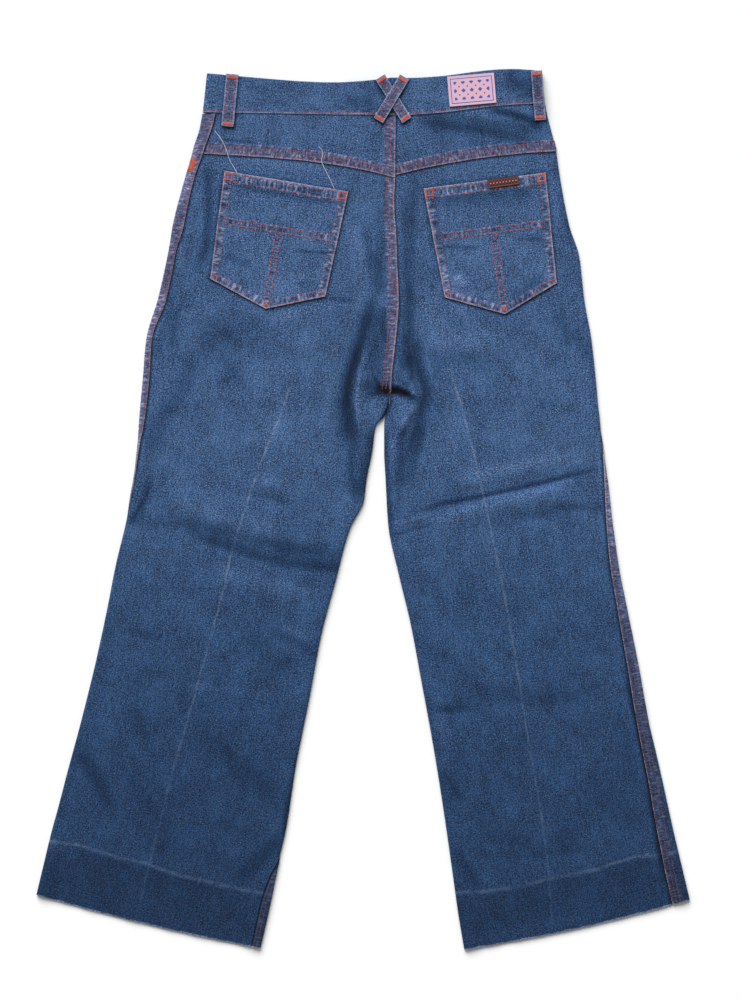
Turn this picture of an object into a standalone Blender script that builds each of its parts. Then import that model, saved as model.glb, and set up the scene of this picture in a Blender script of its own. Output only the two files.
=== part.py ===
# Wide leg jeans lying flat on their front, with the back up.
# +X is the wearer's right, +Y points to the waist, +Z is up. The floor is z = 0.
# Each half is a flattened tube. A point on it is named by its row, from the waist down to the hem,
# and by its reach: the way round the tube from the outer edge, over the back where it is positive
# and along the underside where it is negative.

import math

import bmesh
import bpy
import numpy as np
from mathutils import Vector

MM = 0.001

# Cloth, in millimetres
CLOTH = 1.2  # denim wall
BAND_CLOTH = 2.4  # the waistband is two layers
FELL_RAISE = 0.8  # a felled seam stands this much over its panel
FELL_WIDTH = 11.4
FELL_STEP = 1.0  # width of the step at the felled seam's edge
SEAM_GAP = 0.3  # between pieces that are sewn together
TURNING_GAP = 0.7  # the same where a seam turns over a fold
FRONT_TOP_GAP = 1.6  # between the front panels and the waistband
FOLD_RADIUS = 1.6  # inside of the fold at a side or an inner leg
BAND_FOLD_RADIUS = 1.5
LAYER_GAP = 2.0  # between the front and back layers, away from folds
BAND_GAP = 0.6
BAND_LIFT_FROM = (385.0, 420.0)  # the back starts and ends rising here over the front's waistband
LEAST_GAP = 0.5
FOLD_FADE = 0.3  # share of a fold's length over which it rises from each end
EDGE_ROLL = 22.0  # how far from a fold the layers take to close up
FRONT_DROP = 24.0  # the front of the waist lies this much lower than the back

# Centre front closing
BAND_OVERLAP = 17.0  # each end of the waistband passes the centre front by this much
CENTRE_FRONT = (35.0, 455.0)
BUTTON_RADIUS = 8.5
BUTTON_HEIGHT = 1.2
BUTTON_LIFT = 1.7  # the button holds the waistband off the floor
BUTTON_LIFT_REACH = 70.0
OVERLAP_LIFT = 3.6
OVERLAP_LIFT_REACH = (62.0, 150.0)  # across, and down from the waist

LEFT, RIGHT = "left", "right"

SECTION_COLUMNS = ("row", "outer_x", "outer_y", "inner_x", "inner_y", "outseam", "inseam", "fork", "bow", "skew")
# outer and inner: where the row meets the silhouette, and the centre line or the inner leg.
# outseam and inseam: how far each seam lies from its fold, over the back (+) or underneath (-).
# fork: 1 where the halves are joined at the centre, 0 where the leg is a closed tube.
# bow and skew: how far the row curves towards the waist, evenly and towards its outer end.
SECTIONS = {
    LEFT: (
        ("waist", -176, 491, 34, 486, 15, 0, 1, -6, 1.5),
        ("band", -181, 447, 37.5, 443, 15, 0, 1, 0.5, 0),
        ("yoke", -192, 401, 37, 373, 11.5, 0, 1, 6.5, -1),
        ("pocket top", -201, 370, 36, 348, 10, 0, 1, 4.5, 0),
        ("seat", -214, 319, 38, 312, 12, 0, 1, 2, 0),
        ("pocket base", -219, 289, 39, 282, 8, 0, 1, 1, 0),
        ("hip", -231, 235, 41, 235, 9, 0, 1, 0, 0),
        ("under hip", -244, 190, 38, 190, 6, 0, 1, 0, 0),
        ("rise end", -248, 145, 34, 154, 7, 0, 1, 0, 0),
        ("crotch", -251, 112, 31.9, 131, 6.5, 0, 1, 0, 0),
        ("dive", -251.5, 105, 30.1, 124, 6, 0, 0.5, 0, 0),
        ("point", -252, 99, 29, 117, 5.5, 0, 0, 0, 0),
        ("pouch", -252.6, 88, 25.2, 105, 4.5, -2, 0, 0, 0),
        ("notch", -253.5, 77, 15.5, 94, 3, -4, 0, 0, 0),
        ("thigh", -255.5, 58, 11, 64, 2.2, -5, 0, 0, 0),
        ("low thigh", -258, 37, 4.5, 31, 1.5, -5, 0, 0, 0),
        ("crease end", -262, 14, 2, 10, 0.6, -5, 0, 0, 0),
        ("over knee", -267, -14, -14, -23, -0.5, -5, 0, 0, 0),
        ("knee", -279, -64, -31, -85, -3, -5, 0, 0, 0),
        ("under knee", -289, -115, -46, -141, -6, -5, 0, 0, 0),
        ("calf", -302, -175, -60, -215, -8, -4.5, 0, 0, 0),
        ("mid calf", -318, -240, -75, -290, -9, -4, 0, 0, 0),
        ("low calf", -336, -307, -87, -366, -10, -2.5, 0, 0, 0),
        ("over ankle", -344, -338, -93.5, -394, -10.3, -0.5, 0, 0, 0),
        ("seam turn", -348, -352.5, -96.2, -407, -10.4, 2.6, 0, 0, 0),
        ("ankle", -352, -367, -99, -420, -10.5, 6, 0, 0, 0),
        ("over hem", -360, -400, -106, -454, -11, 10, 0, 0, 0),
        ("hem", -368.5, -434, -115, -497, -11, 9.5, 0, -1.5, 0),
    ),
    RIGHT: (
        ("waist", 203, 493, 34, 486, -15, 0, 1, 2.5, 3),
        ("band", 206.8, 456.5, 37.5, 443, -15, 0, 1, 1, 1.5),
        ("yoke", 219, 403, 37, 376, -14, 0, 1, 5, 0),
        ("pocket top", 224, 370, 36, 348, -13.5, 0, 1, 4, 0),
        ("seat", 234, 319, 38, 312, -12.5, 0, 1, 2, 0),
        ("pocket base", 245, 285, 39, 282, -12, 0, 1, 1, 0),
        ("hip", 251, 235, 41, 235, -10, 0, 1, 0, 0),
        ("under hip", 259, 190, 38, 190, -8, 0, 1, 0, 0),
        ("rise end", 264, 145, 34, 154, -4, 0, 1, 0, 0),
        ("crotch", 267, 112, 32.1, 131, -2, 0, 1, 0, 0),
        ("dive", 268, 105, 31.9, 124, -1.5, 0, 0.5, 0, 0),
        ("point", 268.5, 99, 30, 117, -1, 0, 0, 0, 0),
        ("pouch", 269.5, 88, 25.8, 105, -0.5, -2, 0, 0, 0),
        ("notch", 271, 77, 24.5, 94, 0, -4, 0, 0, 0),
        ("thigh", 273, 58, 24.5, 64, 1.5, -5, 0, 0, 0),
        ("low thigh", 276, 37, 26, 34, 3, -6, 0, 0, 0),
        ("over knee", 282, -14, 29, -18, 6.5, -7, 0, 0, 0),
        ("knee", 289, -64, 41, -75, 9, -8, 0, 0, 0),
        ("under knee", 299, -115, 54, -129, 10.5, -9, 0, 0, 0),
        ("calf", 311, -175, 67, -198, 12, -10, 0, 0, 0),
        ("mid calf", 324, -240, 80, -269, 14, -11, 0, 0, 0),
        ("low calf", 339, -307, 92, -344, 16, -12, 0, 0, 0),
        ("ankle", 352, -365, 102, -414, 18.5, -13, 0, 0, 0),
        ("over hem", 361, -402, 108, -457, 20, -14, 0, 0, 0),
        ("hem", 370.5, -440, 115, -498, 21, -15, 0, -4, 0),
    ),
}

FOLD_COLUMNS = ("fold", "height", "left", "right", "path")
# Soft ridges (+) and troughs (-) of the back layer, in millimetres. Each fades out over the width
# given for the left and for the right of its path, and towards both of its ends.
FOLDS = (
    ("left crest", 3.6, 26, 9, ((11, 246), (1, 193), (-9, 160), (-12, 132), (-10, 114), (-7, 88), (-7, 42), (2, 8))),
    ("left trough", -1.4, 8, 26, ((13, 290), (2, 246), (-8, 193), (-18, 160), (-21, 132), (-19, 110), (-14, 40))),
    ("right crest", 3.6, 9, 26, ((46, 215), (50, 168), (56, 136), (59, 125), (53, 107), (38, 82), (30, 40))),
    ("right trough", -1.4, 26, 8, ((49, 290), (57, 209), (61, 168), (68, 137), (71, 122), (64, 100), (45, 55))),
    ("rise keel", 1.8, 14, 14, ((36, 330), (40, 240), (39, 190), (35, 150), (32, 120))),
    ("right lip", 1.6, 14, 5, ((34, 160), (49, 141), (59, 124))),
    ("hollow", -3.6, 6, 7, ((30, 131), (42, 133), (56, 124))),
    ("left lip", 1.3, 4, 12, ((10, 145), (22, 130), (26, 114), (12, 96))),
    ("right knee crease", -1.7, 26, 6, ((55, -10), (107, 3), (146, 15), (180, 22), (212, 28), (262, 42))),
    ("under the crease", 2.2, 7, 32, ((58, -20), (107, -6), (146, 6), (180, 13), (212, 19), (256, 32))),
    ("right short crease", -1.2, 12, 5, ((28, -26), (53, -25), (78, -16))),
    ("right low crease", -1.0, 12, 10, ((44, -60), (64, -58), (88, -54))),
    ("right leg dip", -1.2, 16, 15, ((160, -16), (217, -8), (262, 2))),
    ("right calf crease", -1.0, 14, 9, ((76, -232), (100, -232), (128, -228))),
    ("left knee crease", -1.7, 24, 17, ((-250, -10), (-212, -12), (-168, -32), (-114, -49), (-65, -59), (-22, -70))),
    ("over left knee", 1.6, 22, 22, ((-232, 22), (-160, 0), (-104, -14), (-40, -26))),
    ("left thigh dip", -1.2, 12, 12, ((-136, 20), (-106, 13), (-80, 4))),
    ("left side dip", -1.3, 13, 13, ((-240, 120), (-239, 46), (-254, -7), (-271, -52))),
    ("left calf dip", -1.1, 15, 13, ((-96, -140), (-65, -157), (-46, -180))),
    ("left calf swell", 1.6, 26, 26, ((-250, -262), (-228, -310), (-216, -345))),
    ("right calf swell", 1.5, 28, 28, ((140, -150), (158, -240), (178, -330))),
    ("left hip side", -1.3, 12, 12, ((-176, 372), (-188, 310), (-196, 250))),
    ("left hip ridge", 1.5, 16, 16, ((-196, 300), (-212, 230), (-228, 150))),
    ("right of rise", -1.3, 14, 11, ((54, 372), (53, 300), (50, 240))),
    ("right yoke dip", -1.2, 13, 13, ((52, 440), (110, 436), (170, 420))),
    ("right hip side", 1.4, 14, 14, ((224, 356), (238, 300), (246, 250))),
    ("left seat", 1.4, 24, 24, ((-150, 196), (-90, 188), (-40, 178))),
    ("right seat", 1.3, 24, 24, ((90, 190), (140, 184), (200, 180))),
)

POCKET_COLUMNS = ("corner", "x", "y")
POCKETS = {
    LEFT: (
        ("top left", -156, 381),
        ("top right", -16, 357.5),
        ("low right", -42, 239),
        ("tip", -109.5, 225),
        ("low left", -172, 259),
    ),
    RIGHT: (
        ("top left", 69, 361),
        ("top right", 207, 379),
        ("low right", 219.5, 254),
        ("tip", 161, 219),
        ("low left", 93, 238),
    ),
}
POCKET_HEM = 15.0  # depth of the turned top edge
POCKET_HEM_RAISE = 0.8
POCKET_TURN = 8.0  # width of the turned sides
POCKET_TURN_RAISE = 0.5

STRIP_COLUMNS = ("strip", "top_x", "top_y", "base_x", "base_y", "width", "over")
LOOPS = (
    ("loop_side_left", -147, 488.3, -152, 431, 14, 0),
    ("loop_side_right", 196.5, 491.5, 201, 438, 12.5, 0),
    ("loop_cross_under", 21, 484, 50, 437, 12, 0),
    ("loop_cross_over", 46.5, 484, 18, 438, 12, 1),
)
LOOP_CLOTH = 1.6
LOOP_LIFT = 0.5
CLEAR = 0.6  # under a loop or a patch, so that it clears the rounded cloth
CROSSING = (34.0, 461.0)

PATCH_COLUMNS = ("patch", "x", "y", "width", "height", "turn")
LABEL = ("waist_label", 123.5, 472.5, 53, 34, 5.0)
TAB = ("pocket_tab", 159, 368.2, 35, 10, 7.5)
PATCH_CLOTH = 1.0

ROW_STEP = 27.0  # length of a row of the leg panels' faces
TURN_WEIGHT = 17.0  # millimetres of width that a radian of fold counts as, when faces are shared out

DENIM = (0.048, 0.094, 0.198)
FINISHES = {
    "denim": (DENIM, 0.85, 0.0),
    "label_pink": ((0.74, 0.47, 0.60), 0.7, 0.0),
    "tab_dark": ((0.06, 0.025, 0.03), 0.7, 0.0),
    "button_metal": ((0.55, 0.50, 0.42), 0.35, 1.0),
}


def named(columns, row):
    return dict(zip(columns, row))


def soft_step(value):
    """0 below 0, 1 above 1, with a smooth rise between."""
    value = min(max(value, 0.0), 1.0)
    return value * value * (3 - 2 * value)


def bump(distance, width):
    """1 at no distance and 0 from the width on, round at both ends."""
    return math.cos(min(distance / width, 1.0) * math.pi / 2) ** 2


def slopes(knots, values):
    """The slope of a smooth curve at each knot, flat where the values turn back."""
    steps = np.diff(knots)
    rises = np.diff(values) / steps
    found = np.empty(len(values))
    found[0], found[-1] = rises[0], rises[-1]
    for k in range(1, len(values) - 1):
        before, after = rises[k - 1], rises[k]
        if before * after <= 0:
            found[k] = 0.0
        else:
            first, second = 2 * steps[k] + steps[k - 1], steps[k] + 2 * steps[k - 1]
            found[k] = (first + second) / (first / before + second / after)
    return found


class Half:
    """One side of the garment as a flattened tube, with its rows smooth from the waist to the hem."""

    def __init__(self, side):
        rows = [named(SECTION_COLUMNS, row) for row in SECTIONS[side]]
        drops = [0.0]
        for above, below in zip(rows, rows[1:]):
            outer = above["outer_y"] - below["outer_y"]
            inner = above["inner_y"] - below["inner_y"]
            drops.append(drops[-1] + (outer + inner) / 2)
        self.side = side
        self.knots = np.array(drops)
        self.at = {row["row"]: drop for row, drop in zip(rows, drops)}
        self.values = {key: np.array([row[key] for row in rows], float) for key in SECTION_COLUMNS[1:]}
        self.slopes = {key: slopes(self.knots, values) for key, values in self.values.items()}

    def value(self, key, drop):
        knots, values, tangents = self.knots, self.values[key], self.slopes[key]
        k = min(max(int(np.searchsorted(knots, drop)) - 1, 0), len(knots) - 2)
        span = knots[k + 1] - knots[k]
        t = (drop - knots[k]) / span
        return (
            (1 + 2 * t) * (1 - t) ** 2 * values[k]
            + t * (1 - t) ** 2 * span * tangents[k]
            + t * t * (3 - 2 * t) * values[k + 1]
            + t * t * (t - 1) * span * tangents[k + 1]
        )

    def row(self, drop, cloth=CLOTH, fold=FOLD_RADIUS):
        return Row(self, drop, cloth, fold)


class Row:
    """A line across one half. Its reach runs from the outer edge to the inner one, on both layers."""

    def __init__(self, half, drop, cloth, fold):
        read = {key: half.value(key, drop) for key in half.values}
        self.drop = drop
        self.fold, self.edge, self.cloth = fold, fold + cloth, cloth
        self.fork = read["fork"]
        self.outer = Vector((read["outer_x"], read["outer_y"]))
        inner = Vector((read["inner_x"], read["inner_y"]))
        self.along = (inner - self.outer).normalized()
        self.span = (inner - self.outer).length
        self.up = Vector((-self.along.y, self.along.x))
        if self.up.y < 0:
            self.up = -self.up
        self.bow, self.skew = read["bow"], read["skew"]
        self.width = self.span + self.fork * self.edge
        self.quarter = self.fold * math.pi / 2
        self.length = self.width - 2 * self.edge + 2 * self.quarter
        self.outseam, self.inseam = read["outseam"], read["inseam"]
        self.below = 1 - soft_step(drop / half.at["crotch"])  # how much of the front's drop this row has

    def back_end(self):
        return self.length - self.fork * self.quarter - (1 - self.fork) * self.inseam

    def front_end(self):
        return -self.length + self.fork * self.quarter - (1 - self.fork) * self.inseam

    def turned(self, reach):
        """The angle that the cloth has turned by at this reach, over all three folds."""
        folds = (reach, reach - self.length, reach + self.length)
        return sum(min(max(r, -self.quarter), self.quarter) for r in folds) / self.fold

    def share(self, start, end, count):
        """Reaches from start to end, closer together where the cloth turns."""
        steps = np.linspace(start, end, 240)
        weights = [abs(step - start) + TURN_WEIGHT * abs(self.turned(step) - self.turned(start)) for step in steps]
        return list(np.interp(np.linspace(0, weights[-1], count + 1), weights, steps))

    def flat(self, inward, on_back):
        """The place on the floor plan of a point this far in from the silhouette."""
        t = min(max(inward / self.span, 0.0), 1.0)
        bow = self.bow * 4 * t * (1 - t) + self.skew * 10.4 * t * (1 - t) * (1 - 2 * t)
        place = self.outer + self.along * inward + self.up * bow
        if not on_back:
            place.y -= FRONT_DROP * self.below * math.sin(t * math.pi / 2) ** 2
        return place

    def point(self, reach, gap=None):
        """The point of the wall's inner face at this reach, in millimetres."""
        if reach > self.length:
            reach -= 2 * self.length
        if reach < -self.length:
            reach += 2 * self.length
        on_back, way = reach >= 0, abs(reach)
        if way < self.quarter:
            turn, inward = way / self.fold, None
            inward = self.edge - self.fold * math.cos(turn)
        elif way > self.length - self.quarter:
            turn = (self.length - way) / self.fold
            inward = self.width - self.edge + self.fold * math.cos(turn)
        else:
            turn, inward = math.pi / 2, self.edge + way - self.quarter
        place = self.flat(inward, on_back)
        floor = self.cloth + button_lift(place)
        if turn < math.pi / 2:
            rise = math.sin(turn) * (1 if on_back else -1)
            return Vector((place.x, place.y, floor + self.fold * (1 + rise)))
        if not on_back:
            return Vector((place.x, place.y, floor))
        return Vector((place.x, place.y, floor + self.opening(inward, place, gap)))

    def opening(self, inward, place, gap=None):
        """How far apart the layers lie at a place on the back."""
        joined = 2 * EDGE_ROLL * max(self.fork - 0.5, 0)
        near = min(inward, self.width - inward + joined) - self.edge
        wanted = gap
        if gap is None:
            low, high = BAND_LIFT_FROM
            wanted = LAYER_GAP + fold_height(place)
            wanted += (BAND_CLOTH - CLOTH) * soft_step((place.y - low) / (high - low))
        wanted += overlap_lift(place)
        wanted = max(wanted, LEAST_GAP)
        return 2 * self.fold + (wanted - 2 * self.fold) * soft_step(near / EDGE_ROLL)


def button_lift(place):
    distance = (place - Vector(CENTRE_FRONT)).length
    return BUTTON_LIFT * bump(max(distance - BUTTON_RADIUS, 0), BUTTON_LIFT_REACH)


def overlap_lift(place):
    """The back lies higher over the closing of the waistband and the fly."""
    across, down = OVERLAP_LIFT_REACH
    sideways = abs(place.x - CENTRE_FRONT[0])
    below = max(CENTRE_FRONT[1] - place.y, 0)
    return OVERLAP_LIFT * soft_step((across - sideways) / (across - 2 * BAND_OVERLAP)) * bump(below, down)


def fold_height(place):
    """The height that the folds near a place give the back layer."""
    total = 0.0
    for row in FOLDS:
        fold = named(FOLD_COLUMNS, row)
        path = [Vector(point) for point in fold["path"]]
        length = sum((end - start).length for start, end in zip(path, path[1:]))
        nearest, gone = None, 0.0
        for start, end in zip(path, path[1:]):
            line = end - start
            t = min(max((place - start).dot(line) / line.length_squared, 0), 1)
            away = place - start - line * t
            if nearest is None or away.length < nearest[0]:
                nearest = (away.length, line.cross(away), (gone + line.length * t) / length)
            gone += line.length
        distance, side, along = nearest
        width = fold["left"] if side > 0 else fold["right"]
        fade = soft_step(min(along, 1 - along) / FOLD_FADE)
        total += fold["height"] * fade * bump(distance, width)
    return total


def back_height(half, place, band=False):
    """The height of the back's outer face over a place on the floor plan."""
    low, high = half.at["waist"], half.at["hem"]
    for _ in range(30):
        middle = (low + high) / 2
        row = half.row(middle)
        inward = (place - row.outer).dot(row.along)
        if (place - row.flat(inward, True)).dot(row.up) > 0:
            high = middle
        else:
            low = middle
    if band:
        row = half.row(middle, BAND_CLOTH, BAND_FOLD_RADIUS)
        return row.cloth * 2 + button_lift(place) + row.opening(inward, place, BAND_GAP)
    return row.cloth * 2 + button_lift(place) + row.opening(inward, place)


def half_at(place):
    return HALVES[LEFT if place.x < CENTRE_FRONT[0] else RIGHT]


def surface_height(place):
    """The top of whatever lies at a place: the waistband, a felled seam or a panel."""
    half = half_at(place)
    band_edge = half.row(half.at["band"])
    inward = (place - band_edge.outer).dot(band_edge.along)
    if (place - band_edge.flat(inward, True)).dot(band_edge.up) > -1.0:
        return back_height(half, place, band=True)
    return back_height(half, place) + FELL_RAISE


def finish(name):
    material = bpy.data.materials.new(name)
    colour, roughness, metallic = FINISHES[name]
    material.use_nodes = True
    shader = material.node_tree.nodes["Principled BSDF"]
    shader.inputs["Base Color"].default_value = (*colour, 1)
    shader.inputs["Roughness"].default_value = roughness
    shader.inputs["Metallic"].default_value = metallic
    material.diffuse_color = (*colour, 1)
    return material


def sheet(name, points, walls, faces_up, material="denim"):
    """A wall raised outwards from a grid of points on its inner face, each with its own thickness."""
    rows, columns = len(points), len(points[0])
    bm = bmesh.new()
    bmesh.ops.create_grid(bm, x_segments=columns - 1, y_segments=rows - 1, size=1)
    thickness = bm.verts.layers.deform.verify()
    thickest = max(max(row) for row in walls)
    for vert in bm.verts:
        column = round((vert.co.x + 1) / 2 * (columns - 1))
        row = round((vert.co.y + 1) / 2 * (rows - 1))
        vert.co = points[row][column] * MM
        vert[thickness][0] = walls[row][column] / thickest
    bm.normal_update()
    extreme = (max if faces_up else min)(bm.faces, key=lambda face: face.calc_center_median().z)
    if (extreme.normal.z > 0) != faces_up:
        bmesh.ops.reverse_faces(bm, faces=bm.faces)
    mesh = bpy.data.meshes.new(name)
    bm.to_mesh(mesh)
    bm.free()
    mesh.shade_smooth()
    mesh.materials.append(MATERIALS[material])
    piece = bpy.data.objects.new(name, mesh)
    piece.parent = GARMENT
    bpy.context.scene.collection.objects.link(piece)
    piece.vertex_groups.new(name="thickness")
    wall = piece.modifiers.new("wall", "SOLIDIFY")
    wall.thickness = thickest * MM
    wall.offset = 1
    wall.vertex_group = "thickness"
    return piece


def shares(row, start, end, zones):
    """Reaches across a panel. A zone is its width and its number of faces, and the one of width 0 takes the rest."""
    step = 1 if end > start else -1
    spare = abs(end - start) - sum(width for width, _ in zones)
    reaches, here = [start], start
    for width, count in zones:
        there = here + step * (width or spare)
        reaches += row.share(here, there, count)[1:]
        here = there
    return reaches


def drops_between(half, start, end):
    """Rows from one section to another, with one at each section between them."""
    knots = [k for k in half.knots if half.at[start] <= k <= half.at[end]]
    drops = []
    for above, below in zip(knots, knots[1:]):
        count = max(1, round((below - above) / ROW_STEP))
        drops += [above + (below - above) * n / count for n in range(count)]
    return drops + [knots[-1]]


FELL_ZONES = ((FELL_WIDTH, 4), (FELL_STEP, 1))


def felled_wall(point, share=1.0):
    """The wall at a felled seam, which stands out only where it doesn't lie on the floor."""
    return CLOTH + FELL_RAISE * share * soft_step((point.z - CLOTH) / FOLD_RADIUS)


def make_back(half):
    """A back panel from the yoke seam to the hem. The left one carries the felled seam of the centre back."""
    felled = half.side == LEFT
    points, walls = [], []
    for drop in drops_between(half, "yoke", "hem"):
        row = half.row(drop + (SEAM_GAP if drop == half.at["yoke"] else 0))
        end_gap = SEAM_GAP * row.fork + TURNING_GAP * (1 - row.fork)
        start, end = row.outseam + TURNING_GAP / 2, row.back_end() - end_gap / 2
        zones = ((0, 18), (FELL_STEP, 1), (FELL_WIDTH, 2)) if felled else ((0, 21),)
        reaches = shares(row, start, end, zones)
        raised = soft_step(2 * row.fork - 1)
        points.append([row.point(reach) for reach in reaches])
        edge = len(reaches) - 3 if felled else len(reaches)
        walls.append([felled_wall(point, raised) if n >= edge else CLOTH for n, point in enumerate(points[-1])])
    sheet(f"back_{half.side}", points, walls, faces_up=True)


def make_yoke(half):
    """A yoke between the waistband and the yoke seam, with the felled seam along its lower edge."""
    felled = half.side == LEFT
    top, base = half.at["band"] + CLEAR, half.at["yoke"]
    zones = ((0, 12), (FELL_STEP, 1), (FELL_WIDTH, 1)) if felled else ((0, 13),)
    columns = {}
    for drop in (top, base):
        row = half.row(drop)
        start, end = yoke_ends(row)
        columns[drop] = [(reach - start) / (end - start) for reach in shares(row, start, end, zones)]
    count = len(columns[top])

    def place(drop, n):
        row = half.row(drop)
        start, end = yoke_ends(row)
        down = (drop - top) / (base - top)
        return row.point(start + (end - start) * (columns[top][n] * (1 - down) + columns[base][n] * down))

    points = [[None] * count for _ in range(6)]
    walls = [[CLOTH] * count for _ in range(6)]
    for n in range(count):
        height = (place(top, n) - place(base, n)).length
        step, fell = 1 - (FELL_WIDTH + FELL_STEP) / height, 1 - FELL_WIDTH / height
        for line, down in enumerate((0, step / 3, step * 2 / 3, step, fell, 1)):
            points[line][n] = place(top + (base - top) * down, n)
            if line >= 4 or (felled and n >= count - 2):
                walls[line][n] = felled_wall(points[line][n])
    sheet(f"yoke_{half.side}", points, walls, faces_up=True)


def yoke_ends(row):
    return row.outseam + TURNING_GAP / 2 + SEAM_GAP, row.back_end() - SEAM_GAP / 2


def make_front(half):
    """A front panel from the waistband to the hem. It turns up over the back where a seam lies there."""
    felled_inseam = half.side == LEFT
    points, walls = [], []
    for drop in drops_between(half, "band", "hem"):
        row = half.row(drop + (FRONT_TOP_GAP if drop == half.at["band"] else 0))
        end_gap = SEAM_GAP * row.fork + TURNING_GAP * (1 - row.fork)
        start, end = row.outseam - TURNING_GAP / 2, row.front_end() + end_gap / 2
        inner = ((FELL_STEP, 1), (FELL_WIDTH, 4)) if felled_inseam else ()
        reaches = shares(row, start, end, (*FELL_ZONES, (0, 8), *inner))
        felled = [n < 5 or (felled_inseam and n >= len(reaches) - 5) for n in range(len(reaches))]
        points.append([row.point(reach) for reach in reaches])
        walls.append([felled_wall(point) if raised else CLOTH for point, raised in zip(points[-1], felled)])
    sheet(f"front_{half.side}", points, walls, faces_up=False)


def make_waistband():
    """One strip round the waist. Its right end passes inside the left one at the centre front."""
    points, walls = [], []
    for share in (0, 0.5, 1):
        line = []
        for side in (LEFT, RIGHT):
            half = HALVES[side]
            drop = half.at["band"] * share
            row = half.row(drop, BAND_CLOTH, BAND_FOLD_RADIUS)
            centre = row.length - row.quarter
            under = row.share(3 * BAND_OVERLAP - centre, -row.quarter, 6)
            over = row.share(-row.quarter, centre, 16)
            half_line = lap(row, side) + [row.point(reach, BAND_GAP) for reach in under + over[1:]]
            line.append(half_line)
        line = line[0] + line[1][::-1][1:]
        points.append(line)
        walls.append([BAND_CLOTH] * len(line))
    sheet("waistband", points, walls, faces_up=True)


def lap(row, side):
    """The end of the waistband past the centre front: the left one flat, the right one stepping over it."""
    places = []
    for inward in (row.span + BAND_OVERLAP, row.span, row.span - BAND_OVERLAP, row.span - 2 * BAND_OVERLAP):
        place = row.flat(inward, False)
        height = BAND_CLOTH + button_lift(place)
        if side == RIGHT and inward > row.span - 2 * BAND_OVERLAP:
            height += BAND_CLOTH + SEAM_GAP
        places.append(Vector((place.x, place.y, height)))
    return places


def strip_frame(strip):
    top, base = Vector((strip["top_x"], strip["top_y"])), Vector((strip["base_x"], strip["base_y"]))
    along = (base - top).normalized()
    return top, base, Vector((-along.y, along.x)) * strip["width"] / 2


def make_loop(strip):
    """A belt loop from the waistband's top edge to just below its lower edge, nearly flat on it."""
    top, base, across = strip_frame(strip)
    points = []
    for n in range(12):
        share = n / 11
        middle = top.lerp(base, share)
        line = []
        for side in (-1, 0, 1):
            place = middle + across * side
            height = max(surface_height(place + Vector((0, dy))) for dy in (-2.5, 0, 2.5))
            height += CLEAR + LOOP_LIFT * math.sin(share * math.pi)
            if strip["over"]:
                height += (LOOP_CLOTH + SEAM_GAP) * bump(max((place - Vector(CROSSING)).length - 11, 0), 14)
            line.append(Vector((place.x, place.y, height)))
        points.append(line)
    sheet(strip["strip"], points, [[LOOP_CLOTH] * 3] * len(points), faces_up=True)


def make_pocket(half):
    """A patch pocket made from the panel's points, moved out. Its top hem and turned sides are thicker."""
    corner = {row[0]: Vector(row[1:]) for row in POCKETS[half.side]}
    top_left, top_right = corner["top left"], corner["top right"]
    low = (corner["low left"], corner["tip"], corner["low right"])
    tip_share = (low[1] - low[0]).length / ((low[1] - low[0]).length + (low[2] - low[1]).length)
    width = (top_right - top_left).length
    turn = POCKET_TURN / width
    across = (0, turn, turn + 0.01, 0.3, tip_share, 0.72, 1 - turn - 0.01, 1 - turn, 1)
    height = (low[0] - top_left).length
    hem, foot = POCKET_HEM / height, POCKET_TURN / height
    down = (0, hem, hem + 0.01, 0.3, 0.47, 0.64, 0.8, 1 - foot - 0.01, 1 - foot, 1)
    points, walls = [], []
    for b in down:
        line, thick = [], []
        for a in across:
            upper = top_left.lerp(top_right, a)
            if a < tip_share:
                lower = low[0].lerp(low[1], a / tip_share)
            else:
                lower = low[1].lerp(low[2], (a - tip_share) / (1 - tip_share))
            place = upper.lerp(lower, b)
            line.append(Vector((place.x, place.y, back_height(half, place) + SEAM_GAP)))
            turned = a <= turn or a >= 1 - turn or b >= 1 - foot
            thick.append(CLOTH + (POCKET_HEM_RAISE if b <= hem else POCKET_TURN_RAISE if turned else 0))
        points.append(line)
        walls.append(thick)
    sheet(f"pocket_{half.side}", points, walls, faces_up=True)


def make_patch(row, under, material):
    """A small rectangle sewn flat on what is under it."""
    patch = named(PATCH_COLUMNS, row)
    turn = math.radians(patch["turn"])
    along, up = Vector((math.cos(turn), math.sin(turn))), Vector((-math.sin(turn), math.cos(turn)))
    points = []
    for down in (0.5, 0.17, -0.17, -0.5):
        line = []
        for right in (-0.5, -0.25, 0, 0.25, 0.5):
            place = Vector((patch["x"], patch["y"])) + along * patch["width"] * right + up * patch["height"] * down
            line.append(Vector((place.x, place.y, under(place) + CLEAR)))
        points.append(line)
    sheet(patch["patch"], points, [[PATCH_CLOTH] * 5] * 4, faces_up=True, material=material)


def on_waistband(place):
    return back_height(HALVES[RIGHT], place, band=True)


def on_pocket_hem(place):
    return back_height(HALVES[RIGHT], place) + SEAM_GAP + CLOTH + POCKET_HEM_RAISE


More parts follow.
